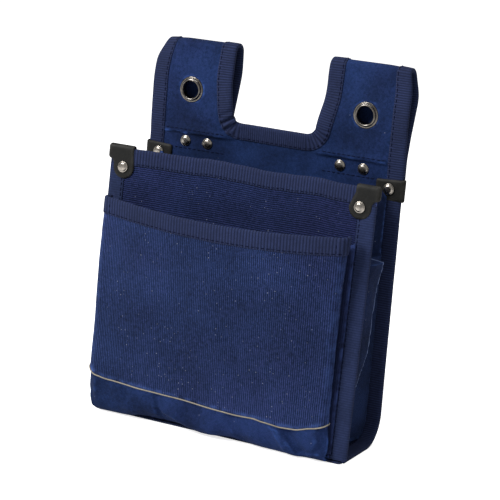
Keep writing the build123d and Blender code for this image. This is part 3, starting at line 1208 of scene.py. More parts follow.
def weave_effect() -> bpy.types.NodeTree:
    """Canvas: ribs along the cloth crossed by picks, with uneven yarn; its Tone is painted shade, darker in the
    weave's dips.
    """
    effect = Effect(
        "CanvasWeave",
        {"Place": None, "Rib Pitch": 1.1 * MM, "Pick Pitch": 0.8 * MM, "Rib Share": 0.6, "Unevenness": 0.35},
        {"Height": "NodeSocketFloat", "Tone": "NodeSocketFloat"},
    )
    w, get = effect.wiring, effect.inputs
    warp = w.noise(get["Place"], 210.0, 2.0)
    drift = w.math("MULTIPLY", w.math("SUBTRACT", warp, 0.5), 0.9 * MM)
    uneven = w.math("MULTIPLY", drift, get["Unevenness"])
    parts = w.add("SeparateXYZ", {0: get["Place"]}).outputs
    rib_phase = w.math("DIVIDE", w.math("ADD", parts[0], uneven), get["Rib Pitch"])
    pick_phase = w.math("DIVIDE", w.math("ADD", parts[1], uneven), get["Pick Pitch"])
    shifted = w.math("ADD", pick_phase, w.math("MULTIPLY", w.math("FLOOR", rib_phase), 0.5))
    rib, pick = (
        w.math("MULTIPLY_ADD", w.math("SINE", w.math("MULTIPLY", phase, TURN)), 0.5, 0.5)
        for phase in (rib_phase, shifted)
    )
    yarn = w.noise(get["Place"], 900.0, 3.0, 0.7)
    rib_part = w.math("MULTIPLY", rib, get["Rib Share"])
    pick_part = w.math("MULTIPLY", pick, w.math("SUBTRACT", 1.0, get["Rib Share"]))
    yarn_part = w.math("MULTIPLY", w.math("SUBTRACT", yarn, 0.5), get["Unevenness"])
    height = w.math("ADD", w.math("ADD", rib_part, pick_part), yarn_part)
    # Painted shade: the tone follows the weave's height, so its dips are darker, varied by the yarn noise.
    tone = w.math("MULTIPLY", height, w.math("ADD", 0.6, w.math("MULTIPLY", yarn, 0.8)))
    return effect.give(Height=height, Tone=tone)


def fade_effect() -> bpy.types.NodeTree:
    """Uneven dye and handling, and where the canvas uses it also painted shade: slow patches and finer mottling.
    """
    inputs = {"Place": None, "Scale": 18.0, "Fineness": 0.58}
    effect = Effect("ClothFade", inputs, {"Shade": "NodeSocketFloat"})
    w, get = effect.wiring, effect.inputs
    slow = w.noise(get["Place"], get["Scale"], 3.0)
    fine = w.noise(get["Place"], 420.0, 4.0, 0.75)
    slow_part = w.math("MULTIPLY", slow, w.math("SUBTRACT", 1.0, get["Fineness"]))
    return effect.give(Shade=w.math("ADD", slow_part, w.math("MULTIPLY", fine, get["Fineness"])))


def lint_effect() -> bpy.types.NodeTree:
    """Scattered pale specks of lint and slubs."""
    effect = Effect(
        "Lint", {"Place": None, "Spacing": 220.0, "Size": 0.16, "Share": 0.12}, {"Mask": "NodeSocketFloat"}
    )
    w, get = effect.wiring, effect.inputs
    cells = w.add("TexVoronoi", {"Vector": get["Place"], "Scale": get["Spacing"], "Randomness": 1.0})
    near = w.math("LESS_THAN", cells.outputs["Distance"], get["Size"])
    pick = w.add("SeparateXYZ", {0: cells.outputs["Color"]}).outputs
    chosen = w.math("LESS_THAN", pick[0], get["Share"])
    soft = w.ramp(cells.outputs["Distance"], get["Size"], 0.0)
    shown = w.math("MULTIPLY", near, chosen)
    return effect.give(Mask=w.math("MULTIPLY", shown, w.math("MULTIPLY", soft, pick[1])))


def grain_effect() -> bpy.types.NodeTree:
    """Leather grain: pebbles with creases between them, and fine pores."""
    outputs = {"Height": "NodeSocketFloat", "Rub": "NodeSocketFloat"}
    effect = Effect("LeatherGrain", {"Place": None, "Pebbles": 900.0}, outputs)
    w, get = effect.wiring, effect.inputs
    bend = w.add("TexNoise", {"Vector": get["Place"], "Scale": 300.0, "Detail": 2.0}).outputs["Color"]
    shift = w.add("VectorMath", {0: bend, 1: (1.2 * MM,) * 3}, operation="MULTIPLY").outputs[0]
    moved = w.add("VectorMath", {0: get["Place"], 1: shift}, operation="ADD").outputs[0]
    cells = w.add("TexVoronoi", {"Vector": moved, "Scale": get["Pebbles"]}, feature="SMOOTH_F1")
    pore = w.noise(get["Place"], 2600.0, 2.0)
    height = w.math("SUBTRACT", w.math("MULTIPLY", pore, 0.3), cells.outputs["Distance"])
    rub = w.noise(get["Place"], 120.0, 5.0, 0.7)
    return effect.give(Height=height, Rub=rub)


def rub_effect() -> bpy.types.NodeTree:
    """Edges that stand proud, broken up by noise: wear, and on the canvas also a painted highlight."""
    effect = Effect("EdgeRub", {"Place": None, "Low": 0.52, "High": 0.62}, {"Mask": "NodeSocketFloat"})
    w, get = effect.wiring, effect.inputs
    proud = w.add("NewGeometry").outputs["Pointiness"]
    edge = w.ramp(proud, get["Low"], get["High"])
    patchy = w.noise(get["Place"], 160.0, 4.0)
    return effect.give(Mask=w.math("MULTIPLY", edge, w.ramp(patchy, 0.35, 0.65)))


def tarnish_effect() -> bpy.types.NodeTree:
    """Smudges and fine scratches on plated metal."""
    effect = Effect("Tarnish", {"Place": None}, {"Smudge": "NodeSocketFloat", "Scratch": "NodeSocketFloat"})
    w, get = effect.wiring, effect.inputs
    smudge = w.noise(get["Place"], 330.0, 5.0, 0.6)
    long = w.add("VectorMath", {0: get["Place"], 1: (1.0, 9.0, 2.5)}, operation="MULTIPLY").outputs[0]
    scratch = w.noise(long, 900.0, 3.0)
    return effect.give(Smudge=smudge, Scratch=scratch)


EFFECTS: dict[str, bpy.types.NodeTree] = {
    "weave": weave_effect(),
    "fade": fade_effect(),
    "lint": lint_effect(),
    "grain": grain_effect(),
    "rub": rub_effect(),
    "tarnish": tarnish_effect(),
}


class Bench:
    """A material being wired: its Principled shader, its wiring, and the effects placed in it."""

    def __init__(self, name: str) -> None:
        """Makes an empty material with a Principled shader."""
        self.material = bpy.data.materials.new(name)
        self.material.use_nodes = True
        self.shader = self.material.node_tree.nodes["Principled BSDF"]
        self.wiring = Wiring(self.material.node_tree)
        self.solid_place = self.wiring.add("TexCoord").outputs["Object"]
        self.cloth_place = self.wiring.add("UVMap", uv_map="Cloth").outputs[0]

    def effect(self, name: str, inputs: dict[str, object]) -> bpy.types.bpy_prop_collection:
        """Places an effect and returns its outputs."""
        return self.wiring.add("Group", inputs, node_tree=EFFECTS[name]).outputs

    def set(self, **values: object) -> None:
        """Sets the shader's own sockets, with spaces as underscores, from values or sockets."""
        for key, value in values.items():
            self.wiring.feed(self.shader.inputs[key.replace("_", " ")], value)

    def relief(self, height: Socket, distance: float, strength: float = 1.0) -> None:
        """Feeds a height through a Bump node into the shader's normal.

        Args:
            height: the height.
            distance: how high 1 stands.
            strength: how strongly it shows.
        """
        node = self.wiring.add("Bump", {"Height": height, "Distance": distance, "Strength": strength})
        self.wiring.feed(self.shader.inputs["Normal"], node.outputs[0])


@dataclass(frozen=True)
class ClothFinish:
    """Dyed canvas, with painted shade in the weave's dips and slow patches, and a painted highlight, partly wear,
    on its proud edges and creases.
    """

    name: str
    deep: Colour
    light: Colour
    rib_pitch: float = 0.7 * MM
    pick_pitch: float = 0.7 * MM
    rib_share: float = 0.5
    unevenness: float = 0.5
    relief: float = 0.14 * MM
    lint: float = 0.03
    slot: str = "canvas"
    ribs_run_across: bool = False
    patches: float = 0.15
    # Width of a pale line painted along a fold, partly wear and partly painted highlight; 0 for none.
    crease: float = 0.0
    crease_highlight_colour: Colour = (0.10, 0.14, 0.27, 1.0)
    fluff: Colour = (0.42, 0.46, 0.60, 1.0)

    def material(self) -> bpy.types.Material:
        """Wires the canvas."""
        bench = Bench(self.name)
        w = bench.wiring
        place = bench.cloth_place
        if self.ribs_run_across:
            parts = w.add("SeparateXYZ", {0: place}).outputs
            place = w.add("CombineXYZ", {0: parts[1], 1: parts[0]}).outputs[0]
        weave = bench.effect("weave", {
            "Place": place, "Rib Pitch": self.rib_pitch, "Pick Pitch": self.pick_pitch,
            "Rib Share": self.rib_share, "Unevenness": self.unevenness,
        })
        fade = bench.effect("fade", {"Place": bench.solid_place, "Scale": 16.0})["Shade"]
        tone = w.ramp(weave["Tone"], 0.05, 0.95)
        # The weave's tone carries painted shade in its dips; the slow noise is partly uneven dye, partly painted
        # shade.
        dye = w.blend(w.math("MULTIPLY", tone, w.ramp(fade, 0.3, 0.68)), self.deep, self.light)
        drift = bench.effect("fade", {"Place": bench.solid_place, "Scale": 7.0})["Shade"]
        violet = (self.light[0] * 1.15, self.light[1] * 0.62, self.light[2] * 0.72, 1.0)
        reddened = w.blend(tone, self.deep, violet)
        dye = w.blend(w.math("MULTIPLY", w.ramp(drift, 0.46, 0.6), 0.4), dye, reddened)
        # Partly uneven dye, partly painted shade: slow patches that darken the colour.
        patch = bench.effect("fade", {"Place": bench.solid_place, "Scale": 24.0, "Fineness": 0.12})["Shade"]
        dye = w.blend(self.patches, dye, w.ramp(patch, 0.36, 0.60), "MULTIPLY")
        # Partly wear, partly painted highlight: a pale line painted along the fold's crease.
        if self.crease:
            dye = w.blend(self.crease_highlight_line(w, place, fade), dye, self.crease_highlight_colour)
        # Partly wear, partly painted highlight: proud edges, creases and wrinkle crests are lightened towards
        # three times the light dye.
        worn = bench.effect("rub", {"Place": bench.solid_place, "Low": 0.515, "High": 0.6})["Mask"]
        bare = (*(min(1.0, 3.0 * channel) for channel in self.light[:3]), 1.0)
        rubbed = w.blend(w.math("MULTIPLY", worn, 0.5), dye, bare)
        specks = {"Place": bench.solid_place, "Spacing": 330.0, "Size": 0.17, "Share": self.lint}
        lint = bench.effect("lint", specks)["Mask"]
        finished = w.blend(w.math("MULTIPLY", lint, 0.75), rubbed, self.fluff)
        bench.set(Base_Color=finished, Roughness=w.ramp(fade, -2.6, 1.0), Specular_IOR_Level=0.10,
                  Sheen_Weight=0.03, Sheen_Roughness=0.4, Sheen_Tint=(0.35, 0.5, 1.0, 1.0))
        bench.relief(w.math("ADD", weave["Height"], lint), self.relief)
        return bench.material

    def crease_highlight_line(self, w: Wiring, place: Socket, fade: Socket) -> Socket:
        """A thin pale line along the cloth's zero on a fold, partly dye rubbed off and partly a painted highlight
        on the crease.

        Args:
            w: the material's wiring.
            place: the cloth coordinates.
            fade: unevenness that breaks the line up.

        Returns:
            The line's mask.
        """
        away = w.math("ABSOLUTE", w.add("SeparateXYZ", {0: place}).outputs[0])
        return w.math("MULTIPLY", w.ramp(away, self.crease, 0.3 * self.crease), w.ramp(fade, 0.30, 0.50))


@dataclass(frozen=True)
class TapeFinish:
    """Grosgrain binding, with painted shade in the grooves between its ribs."""

    name: str
    deep: Colour
    light: Colour
    # How much painted shade darkens the grooves between the ribs.
    groove_shade: float = 0.8
    slot: str = "binding_tape"

    def material(self) -> bpy.types.Material:
        """Wires the tape."""
        bench = Bench(self.name)
        w = bench.wiring
        weave = bench.effect("weave", {
            "Place": bench.cloth_place, "Rib Pitch": STOCK.rib_pitch, "Pick Pitch": 0.45 * MM,
            "Rib Share": 0.72, "Unevenness": 0.12,
        })
        parts = w.add("SeparateXYZ", {0: bench.cloth_place}).outputs
        # Painted shade: darker in the grooves between the ribs and lighter on their crests, in step with the ribs'
        # relief.
        crest = w.math("COSINE", w.math("MULTIPLY", parts[0], TURN / STOCK.rib_pitch))
        fade = bench.effect("fade", {"Place": bench.solid_place, "Scale": 30.0})["Shade"]
        share = w.math("MULTIPLY", w.ramp(crest, -1.8 + self.groove_shade, 0.8), w.ramp(fade, 0.2, 0.72))
        dye = w.blend(share, self.deep, self.light)
        worn = bench.effect("rub", {"Place": bench.solid_place, "Low": 0.54, "High": 0.7})["Mask"]
        finished = w.blend(w.math("MULTIPLY", worn, 0.3), dye, (0.13, 0.14, 0.2, 1.0))
        bench.set(Base_Color=finished, Roughness=w.ramp(fade, -2.2, 1.1), Specular_IOR_Level=0.12,
                  Sheen_Weight=0.02, Sheen_Roughness=0.4, Sheen_Tint=(0.5, 0.6, 1.0, 1.0))
        bench.relief(weave["Height"], 0.10 * MM, 0.6)
        return bench.material


@dataclass(frozen=True)
class LeatherFinish:
    """Grained black leather, greyed where it is rubbed."""

    name: str = "BlackLeather"
    deep: Colour = (0.003, 0.0032, 0.003, 1.0)
    light: Colour = (0.010, 0.0098, 0.0088, 1.0)
    bare: Colour = (0.10, 0.095, 0.085, 1.0)
    slot: str = "leather"

    def material(self) -> bpy.types.Material:
        """Wires the leather."""
        bench = Bench(self.name)
        w = bench.wiring
        grain = bench.effect("grain", {"Place": bench.solid_place, "Pebbles": 1000.0})
        worn = bench.effect("rub", {"Place": bench.solid_place, "Low": 0.5, "High": 0.6})["Mask"]
        hide = w.blend(w.ramp(grain["Rub"], 0.3, 0.75), self.deep, self.light)
        finished = w.blend(w.math("MULTIPLY", worn, 0.35), hide, self.bare)
        bench.set(Base_Color=finished, Roughness=w.ramp(grain["Rub"], -0.9, 1.5), Specular_IOR_Level=0.16)
        bench.relief(grain["Height"], 0.12 * MM, 0.8)
        return bench.material


@dataclass(frozen=True)
class PlateFinish:
    """Bright nickel plate with smudges and hairline scratches."""

    name: str
    clean: Colour
    dull: Colour
    gloss: float
    slot: str = "nickel"

    def material(self) -> bpy.types.Material:
        """Wires the plate."""
        bench = Bench(self.name)
        w = bench.wiring
        tarnish = bench.effect("tarnish", {"Place": bench.solid_place})
        colour = w.blend(w.ramp(tarnish["Smudge"], 0.4, 0.75), self.clean, self.dull)
        rough = w.math("ADD", self.gloss, w.math("MULTIPLY", tarnish["Smudge"], 0.22))
        bench.set(Base_Color=colour, Metallic=1.0, Roughness=rough)
        bench.relief(tarnish["Scratch"], 0.004 * MM, 0.4)
        return bench.material


@dataclass(frozen=True)
class CordFinish:
    """Twisted cord or sewing thread, with painted shade between its plies."""

    name: str
    deep: Colour
    light: Colour
    twist: float
    slot: str

    def material(self) -> bpy.types.Material:
        """Wires the thread."""
        bench = Bench(self.name)
        w = bench.wiring
        parts = w.add("SeparateXYZ", {0: bench.cloth_place}).outputs
        lay = w.math("ADD", w.math("DIVIDE", parts[0], self.twist), w.math("DIVIDE", parts[1], 1.2 * MM))
        ply = w.math("SINE", w.math("MULTIPLY", lay, TURN))
        fade = bench.effect("fade", {"Place": bench.solid_place, "Scale": 60.0})["Shade"]
        # Painted shade: darker in the twist's grooves, in step with the plies' relief.
        share = w.math("MULTIPLY", w.ramp(ply, -1.2, 1.0), w.ramp(fade, 0.1, 0.8))
        bench.set(Base_Color=w.blend(share, self.deep, self.light), Roughness=w.ramp(fade, -1.8, 1.2),
                  Specular_IOR_Level=0.06)
        bench.relief(ply, 0.08 * MM, 0.7)
        return bench.material


class Finish(Enum):
    """The pouch's finishes."""

    CANVAS = ClothFinish("NavyCanvas", (0.003, 0.010, 0.040, 1), (0.025, 0.060, 0.205, 1), patches=0.5)
    RIBBED_UPRIGHT = ClothFinish(
        "RibbedCanvasUpright", (0.002, 0.005, 0.021, 1), (0.038, 0.073, 0.225, 1),
        rib_pitch=1.65 * MM, pick_pitch=1.0 * MM, rib_share=0.66, unevenness=0.6, relief=0.45 * MM, lint=0.4,
        slot="ribbed_canvas",
    )
    RIBBED_LEVEL = ClothFinish(
        "RibbedCanvasLevel", (0.001, 0.003, 0.016, 1), (0.030, 0.050, 0.165, 1),
        rib_pitch=1.6 * MM, pick_pitch=1.0 * MM, rib_share=0.7, unevenness=0.55, relief=0.45 * MM, lint=0.3,
        slot="ribbed_canvas", ribs_run_across=True,
    )
    TAPE = TapeFinish("GrosgrainTape", (0.005, 0.008, 0.025, 1), (0.023, 0.034, 0.095, 1), groove_shade=0.5)
    WORN_TAPE = TapeFinish("FlattenedTape", (0.004, 0.008, 0.026, 1), (0.024, 0.036, 0.100, 1), groove_shade=-0.9)
    # Painted shade: a darker copy of the navy canvas for the pocket gussets, which sit in the pocket's shadow.
    PAINTED_SHADE_CANVAS = ClothFinish("PaintedShadeCanvas", (0.003, 0.006, 0.024, 1), (0.016, 0.028, 0.090, 1))
    # Painted shade: a darker copy of the navy canvas for the gussets' side walls, with a pale line painted on the
    # crease.
    SHADED_GUSSET_CANVAS = ClothFinish(
        "GussetCanvasPaintedShade", (0.003, 0.007, 0.028, 1), (0.019, 0.041, 0.128, 1),
        lint=0.05, patches=0.4, crease=1.9 * MM,
    )
    LEATHER = LeatherFinish()
    # Painted shade: the nickel's colour is set darker than bright nickel, for the dark surroundings that the caps
    # reflect.
    RIVET = PlateFinish("NickelPlate", (0.40, 0.365, 0.32, 1), (0.15, 0.14, 0.13, 1), 0.14)
    EYELET = PlateFinish("DarkNickelPlate", (0.17, 0.155, 0.14, 1), (0.07, 0.065, 0.06, 1), 0.10)
    THREAD = CordFinish("NavyThread", (0.002, 0.003, 0.013, 1), (0.007, 0.012, 0.045, 1), 0.9 * MM, "canvas")
    PIPING = CordFinish("PaleSeamCord", (0.16, 0.14, 0.11, 1), (0.52, 0.48, 0.40, 1), 1.1 * MM, "piping")


class Wardrobe:
    """Makes each finish's material once."""

    def __init__(self) -> None:
        """Starts with no materials."""
        self._made: dict[Finish, bpy.types.Material] = {}

    def get(self, finish: Finish) -> bpy.types.Material:
        """The finish's material."""
        if finish not in self._made:
            self._made[finish] = finish.value.material()
        return self._made[finish]


WARDROBE = Wardrobe()


# ------------------------------------------------------------------------------------ sub-assemblies


@dataclass
class Maker:
    """Turns drafts into finished pieces that move with a body, apart from pieces that cross to a second body,
    which are left unparented.
    """

    body: Body

    def piece(self, name: str, draft: Draft, finish: Finish, stands_for: Sequence[str] = (),
              crosses: tuple[Body, Vector, Vector] | None = None) -> bpy.types.Object:
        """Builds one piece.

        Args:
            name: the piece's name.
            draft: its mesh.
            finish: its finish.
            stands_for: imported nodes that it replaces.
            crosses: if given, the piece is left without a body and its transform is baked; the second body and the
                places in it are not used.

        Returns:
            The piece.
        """
        made = draft.build(name, WARDROBE.get(finish))
        if crosses:
            other, start, end = crosses
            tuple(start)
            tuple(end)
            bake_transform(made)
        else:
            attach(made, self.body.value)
        if stands_for:
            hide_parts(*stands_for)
        log.info("%s: %d points", name, len(draft.points))
        return made


def cap_profile(radius: float, height: float) -> list[Point2]:
    """A domed rivet cap with a rolled rim."""
    shape = [
        (0.0, 0.0), (0.96, 0.0), (1.0, 0.14), (1.0, 0.3), (0.97, 0.42), (0.91, 0.48), (0.86, 0.45),
        (0.82, 0.5), (0.77, 0.66), (0.69, 0.81), (0.57, 0.91), (0.42, 0.965), (0.22, 0.99), (0.0, 1.0),
    ]
    return [(radius * r, height * h) for r, h in shape]


def disc_profile(radius: float, height: float) -> list[Point2]:
    """A post's clinched foot, dished in its middle."""
    shape = [
        (0.0, 0.0), (0.95, 0.0), (1.0, 0.3), (0.97, 0.7), (0.88, 0.95),
        (0.62, 1.0), (0.48, 0.72), (0.3, 0.55), (0.0, 0.5),
    ]
    return [(radius * r, height * h) for r, h in shape]


def sew_through(threads: Draft, surface: Surface, path: Sequence[Point2]) -> None:
    """Adds a row of stitches that shows on both leaves of a folded tape.

    Args:
        threads: the thread drawn so far.
        surface: the cloth.
        path: the row's path.
    """
    for lift in (STOCK.tape_top, -STOCK.tape_top):
        threads.merge(StitchRow(surface, path, lift).draft())


@dataclass
class Rivets:
    """Rivets that clamp the same layers. Each place is a cap's seat and its way out; rear leads on to its foot."""

    name: str
    body: Body
    places: list[tuple[Vector, Vector]]
    rear: float
    cap_radius: float = 4.5 * MM
    cap_height: float = 2.0 * MM
    disc_radius: float = 4.2 * MM
    disc_height: float = 1.0 * MM

    def build(self) -> None:
        """Makes the caps and the posts' feet."""
        caps, feet = Draft(), Draft()
        for spot, out in self.places:
            caps.merge(turned(cap_profile(self.cap_radius, self.cap_height), facing(spot, out)))
            foot = facing(spot + out * self.rear, -out)
            feet.merge(turned(disc_profile(self.disc_radius, self.disc_height), foot))
        maker = Maker(self.body)
        maker.piece(f"{self.name}_rivet_caps", caps, Finish.RIVET, [f"{self.name}_rivet_caps"])
        maker.piece(f"{self.name}_rivet_feet", feet, Finish.RIVET, [f"{self.name}_rivet_posts"])


@dataclass
class Eyelet:
    """A rolled eyelet through the front leaf of a belt loop."""

    side: Side
    x: float = LAYOUT.eyelet[0]
    z: float = LAYOUT.eyelet[1]
    bore: float = 6.75 * MM
    tube: float = 7.25 * MM
    rim: float = 10.5 * MM
    bead: float = 1.9 * MM
    lip: float = 9.0 * MM

    def barrel_profile(self) -> list[Point2]:
        """The barrel, its rolled bead in front and its turned lip behind."""
        front, rear = 0.4 * MM, -STOCK.canvas - STOCK.tape
        outer = self.rim - 1.5 * MM
        middle, half = (self.bore + outer) / 2, (outer - self.bore) / 2
        bead = []
        for i in range(13):
            angle = math.pi * (1 - i / 12)
            height = front + self.bead * math.sin(angle) ** 0.8
            bead.append((middle + half * math.cos(angle), height))
        bead += [(outer + 0.25 * MM, 0.42 * MM), (self.rim - 0.4 * MM, 0.5 * MM), (self.rim, 0.2 * MM)]
        middle, half = (self.lip + self.bore) / 2, (self.lip - self.bore) / 2
        lip = []
        for i in range(7):
            angle = math.pi * i / 6
            lip.append((middle + half * math.cos(angle), rear - 1.1 * MM * math.sin(angle)))
        neck = [(self.rim - 0.3 * MM, -0.15 * MM), (self.tube, -0.1 * MM), (self.tube, rear)]
        return [*bead, *neck, *lip, bead[0]]

    def washer_profile(self) -> list[Point2]:
        """The washer behind the cloth, slightly dished."""
        rear = -STOCK.canvas - STOCK.tape
        outer, mid = self.rim - 0.3 * MM, self.rim - 1.2 * MM
        ring = [
            (self.tube, rear + 0.1 * MM),
            (mid, rear + 0.1 * MM),
            (outer, rear + 0.4 * MM),
            (outer, rear + 0.75 * MM),
            (self.tube, rear + 0.8 * MM),
        ]
        return [*ring, ring[0]]

    def build(self) -> None:
        """Makes the eyelet and its washer."""
        spot = Vector((self.side.value * self.x, LAYOUT.back_y, self.z))
        place = facing(spot, Vector((0, -1, 0)))
        maker = Maker(Body.BACK)
        word = self.side.word
        ring = turned(self.barrel_profile(), place, 64)
        maker.piece(f"{word}_eyelet_ring", ring, Finish.EYELET, [f"{word}_eyelet"])
        washer = turned(self.washer_profile(), place, 64)
        maker.piece(f"{word}_eyelet_backing", washer, Finish.EYELET, [f"{word}_eyelet_washer"])


@dataclass
class BackAssembly:
    """Back cloth with the belt loops, its bindings, leather corners, eyelets and rivets."""

    surface: BackSurface
    cutout_half: float = 36.0 * MM
    cutout_radius: float = 10.0 * MM
    flare_z: float = 268.0 * MM
    cell: Point2 = (3.0 * MM, 2.5 * MM)

    def cutout_line(self, step: float) -> list[Point2]:
        """The edge between the loops, from the left strap's end to the right one's."""
        corners, radii = self.cutout_corners()
        return rounded_line(corners, radii, step)

    def cutout_corners(self) -> tuple[list[Point2], list[float]]:
        """The cut-out's corners and roundings."""
        inner = LAYOUT.loop_inner
        floor = self.surface.v_at_height(LAYOUT.shoulder_z)
        flare = self.surface.v_at_height(self.flare_z)
        end = self.surface.length
        right = [(self.cutout_half, floor), (inner, flare), (inner, end)]
        left = [(-u, v) for u, v in reversed(right)]
        radii = [60 * MM, 0.75 * self.cutout_radius, self.cutout_radius, 60 * MM]
        return left + right, radii

    def build(self) -> None:
        """Makes everything on the back."""
        self.cloth()
        self.bindings()
        self.corners()
        for side in Side:
            Eyelet(side).build()
        self.rivets()

    def cloth(self) -> None:
        """The one cloth of the bottom, the back and the loops."""
        half, end = LAYOUT.back_half, self.surface.length
        outline = [(half, 0.0), (half, end)]
        outline += list(reversed(self.cutout_line(2.0 * MM)))
        outline += [(-half, end), (-half, 0.0)]
        fold = self.surface.fold_v
        rows = [fold + i * 0.9 * MM for i in range(-22, 23)]
        rows += [i * 2.2 * MM + 38 * MM for i in range(24)]
        rows += [self.surface.v_at_height(223.0 * MM) + i * 0.7 * MM for i in range(-7, 8)]
        cutting = Cutting.from_outline(outline, self.cell, rows)
        eyelet = Eyelet(Side.RIGHT)
        for side in Side:
            hole = (side.value * eyelet.x, self.surface.v_at_height(eyelet.z))
            cutting = cutting.punched(hole, eyelet.tube + 0.1 * MM)
        draft = cutting.cloth(self.surface)
        nodes = ["back_panel", "bottom_panel"]
        nodes += [f"{side.word}_loop_{part}" for side in Side for part in ("tab", "strap")]
        Maker(Body.BACK).piece("back_cloth", draft, Finish.CANVAS, nodes)

    def bindings(self) -> None:
        """The edge tapes and the cut-out's tape, with their stitching and the rows across the loops' feet."""
        maker = Maker(Body.BACK)
        half, end = LAYOUT.back_half, self.surface.length
        width = STOCK.tape_width
        threads = Draft()
        for side in Side:
            x = side.value * half
            hem = Hem.along(self.surface, [(x, 0.0), (x, end)], side is Side.RIGHT, Tape.step())
            word = side.word
            maker.piece(f"{word}_edge_binding", Tape(hem).draft(), Finish.TAPE, [f"{word}_edge_tape"])
            inset = x - side.value * (width - 1.5 * MM)
            sew_through(threads, self.surface, [(inset, 2 * MM), (inset, end - 2 * MM)])
        corners, radii = self.cutout_corners()
        hem = Hem.along(self.surface, corners, False, Tape.step(), radii)
        maker.piece("cutout_binding", Tape(hem).draft(), Finish.TAPE, ["cutout_tape"])
        path = [hem.spot(i, width - 1.5 * MM) for i in range(4, len(hem.edge) - 4)]
        sew_through(threads, self.surface, path)
        threads.merge(self.loop_foot_threads())
        maker.piece("back_stitching", threads, Finish.THREAD)

    def loop_foot_threads(self) -> Draft:
        """Two rows across each loop's foot, and two across the strap's end behind it."""
        made = Draft()
        rows = ((225.5 * MM, False), (210.0 * MM, False), (212.0 * MM, True), (222.5 * MM, True))
        for side in Side:
            inner, outer = side.value * 44 * MM, side.value * 98 * MM
            for z, behind in rows:
                v = self.surface.v_at_height(z, behind)
                made.merge(StitchRow(self.surface, [(inner, v), (outer, v)], -STOCK.skin).draft())
        return made

    def corners(self) -> None:
        """Leather wrapped round the back panel's edges."""
        base = STOCK.tape_top - 0.1 * MM
        half = LAYOUT.back_half + 0.4 * MM
        v = self.surface.v_at_height(LAYOUT.corner_rivet[1])
        maker = Maker(Body.BACK)
        wrap = EdgeWrap(Flipped(self.surface), half, WHOLE_CLOTH, STOCK.tape_top + STOCK.leather / 2)
        corners = [
            (91.0 * MM, v - 8.0 * MM),
            (122.0 * MM, v - 9.6 * MM),
            (135.0 * MM, v - 8.0 * MM),
            (135.0 * MM, v + 4.5 * MM),
            (122.0 * MM, v + 8.6 * MM),
            (91.0 * MM, v + 7.0 * MM),
        ]
        for side in Side:
            outline = self.rounded_patch(corners, side.value)
            cutting = Cutting.from_outline(outline, (1.2 * MM, 1.2 * MM))
            draft = cutting.sewn(wrap, level(base), pillow(outline, base, STOCK.leather, 1.1 * MM))
            maker.piece(f"{side.word}_back_leather", draft, Finish.LEATHER, [f"{side.word}_back_corner"])

    @staticmethod
    def rounded_patch(corners: Sequence[Point2], mirror: int, radius: float = 2.0 * MM) -> list[Point2]:
        """A closed outline with rounded corners.

        Args:
            corners: its corners on the right side.
            mirror: 1 for the right side, -1 for the left.
            radius: how far from a corner its rounding starts.

        Returns:
            The outline.
        """
        loop = [corners[-1], *corners, corners[0]]
        made: list[Point2] = []
        for before, corner, after in zip(loop, loop[1:], loop[2:]):
            a, b, c = Vector(before), Vector(corner), Vector(after)
            start = b + (a - b).normalized() * radius
            end = b + (c - b).normalized() * radius
            for i in range(5):
                share = i / 4
                spot = start.lerp(b, share).lerp(b.lerp(end, share), share)
                made.append((spot.x * mirror, spot.y))
        return made

    def rivets(self) -> None:
        """The loops' rivets and the leather corners' rivets."""
        front = Vector((0, -1, 0))
        loops, corners = [], []
        for side in Side:
            for x, z in LAYOUT.loop_rivets:
                loops.append((Vector((side.value * x, LAYOUT.back_y, z)), front))
            x, z = LAYOUT.corner_rivet
            spot = Vector((side.value * x, LAYOUT.back_y - STOCK.tape - STOCK.leather, z))
            corners.append((spot, front))
        Rivets("loop", Body.BACK, loops, -2 * (STOCK.canvas + STOCK.tape)).build()
        Rivets("back_corner", Body.BACK, corners, -(STOCK.canvas + 2 * (STOCK.tape + STOCK.leather))).build()


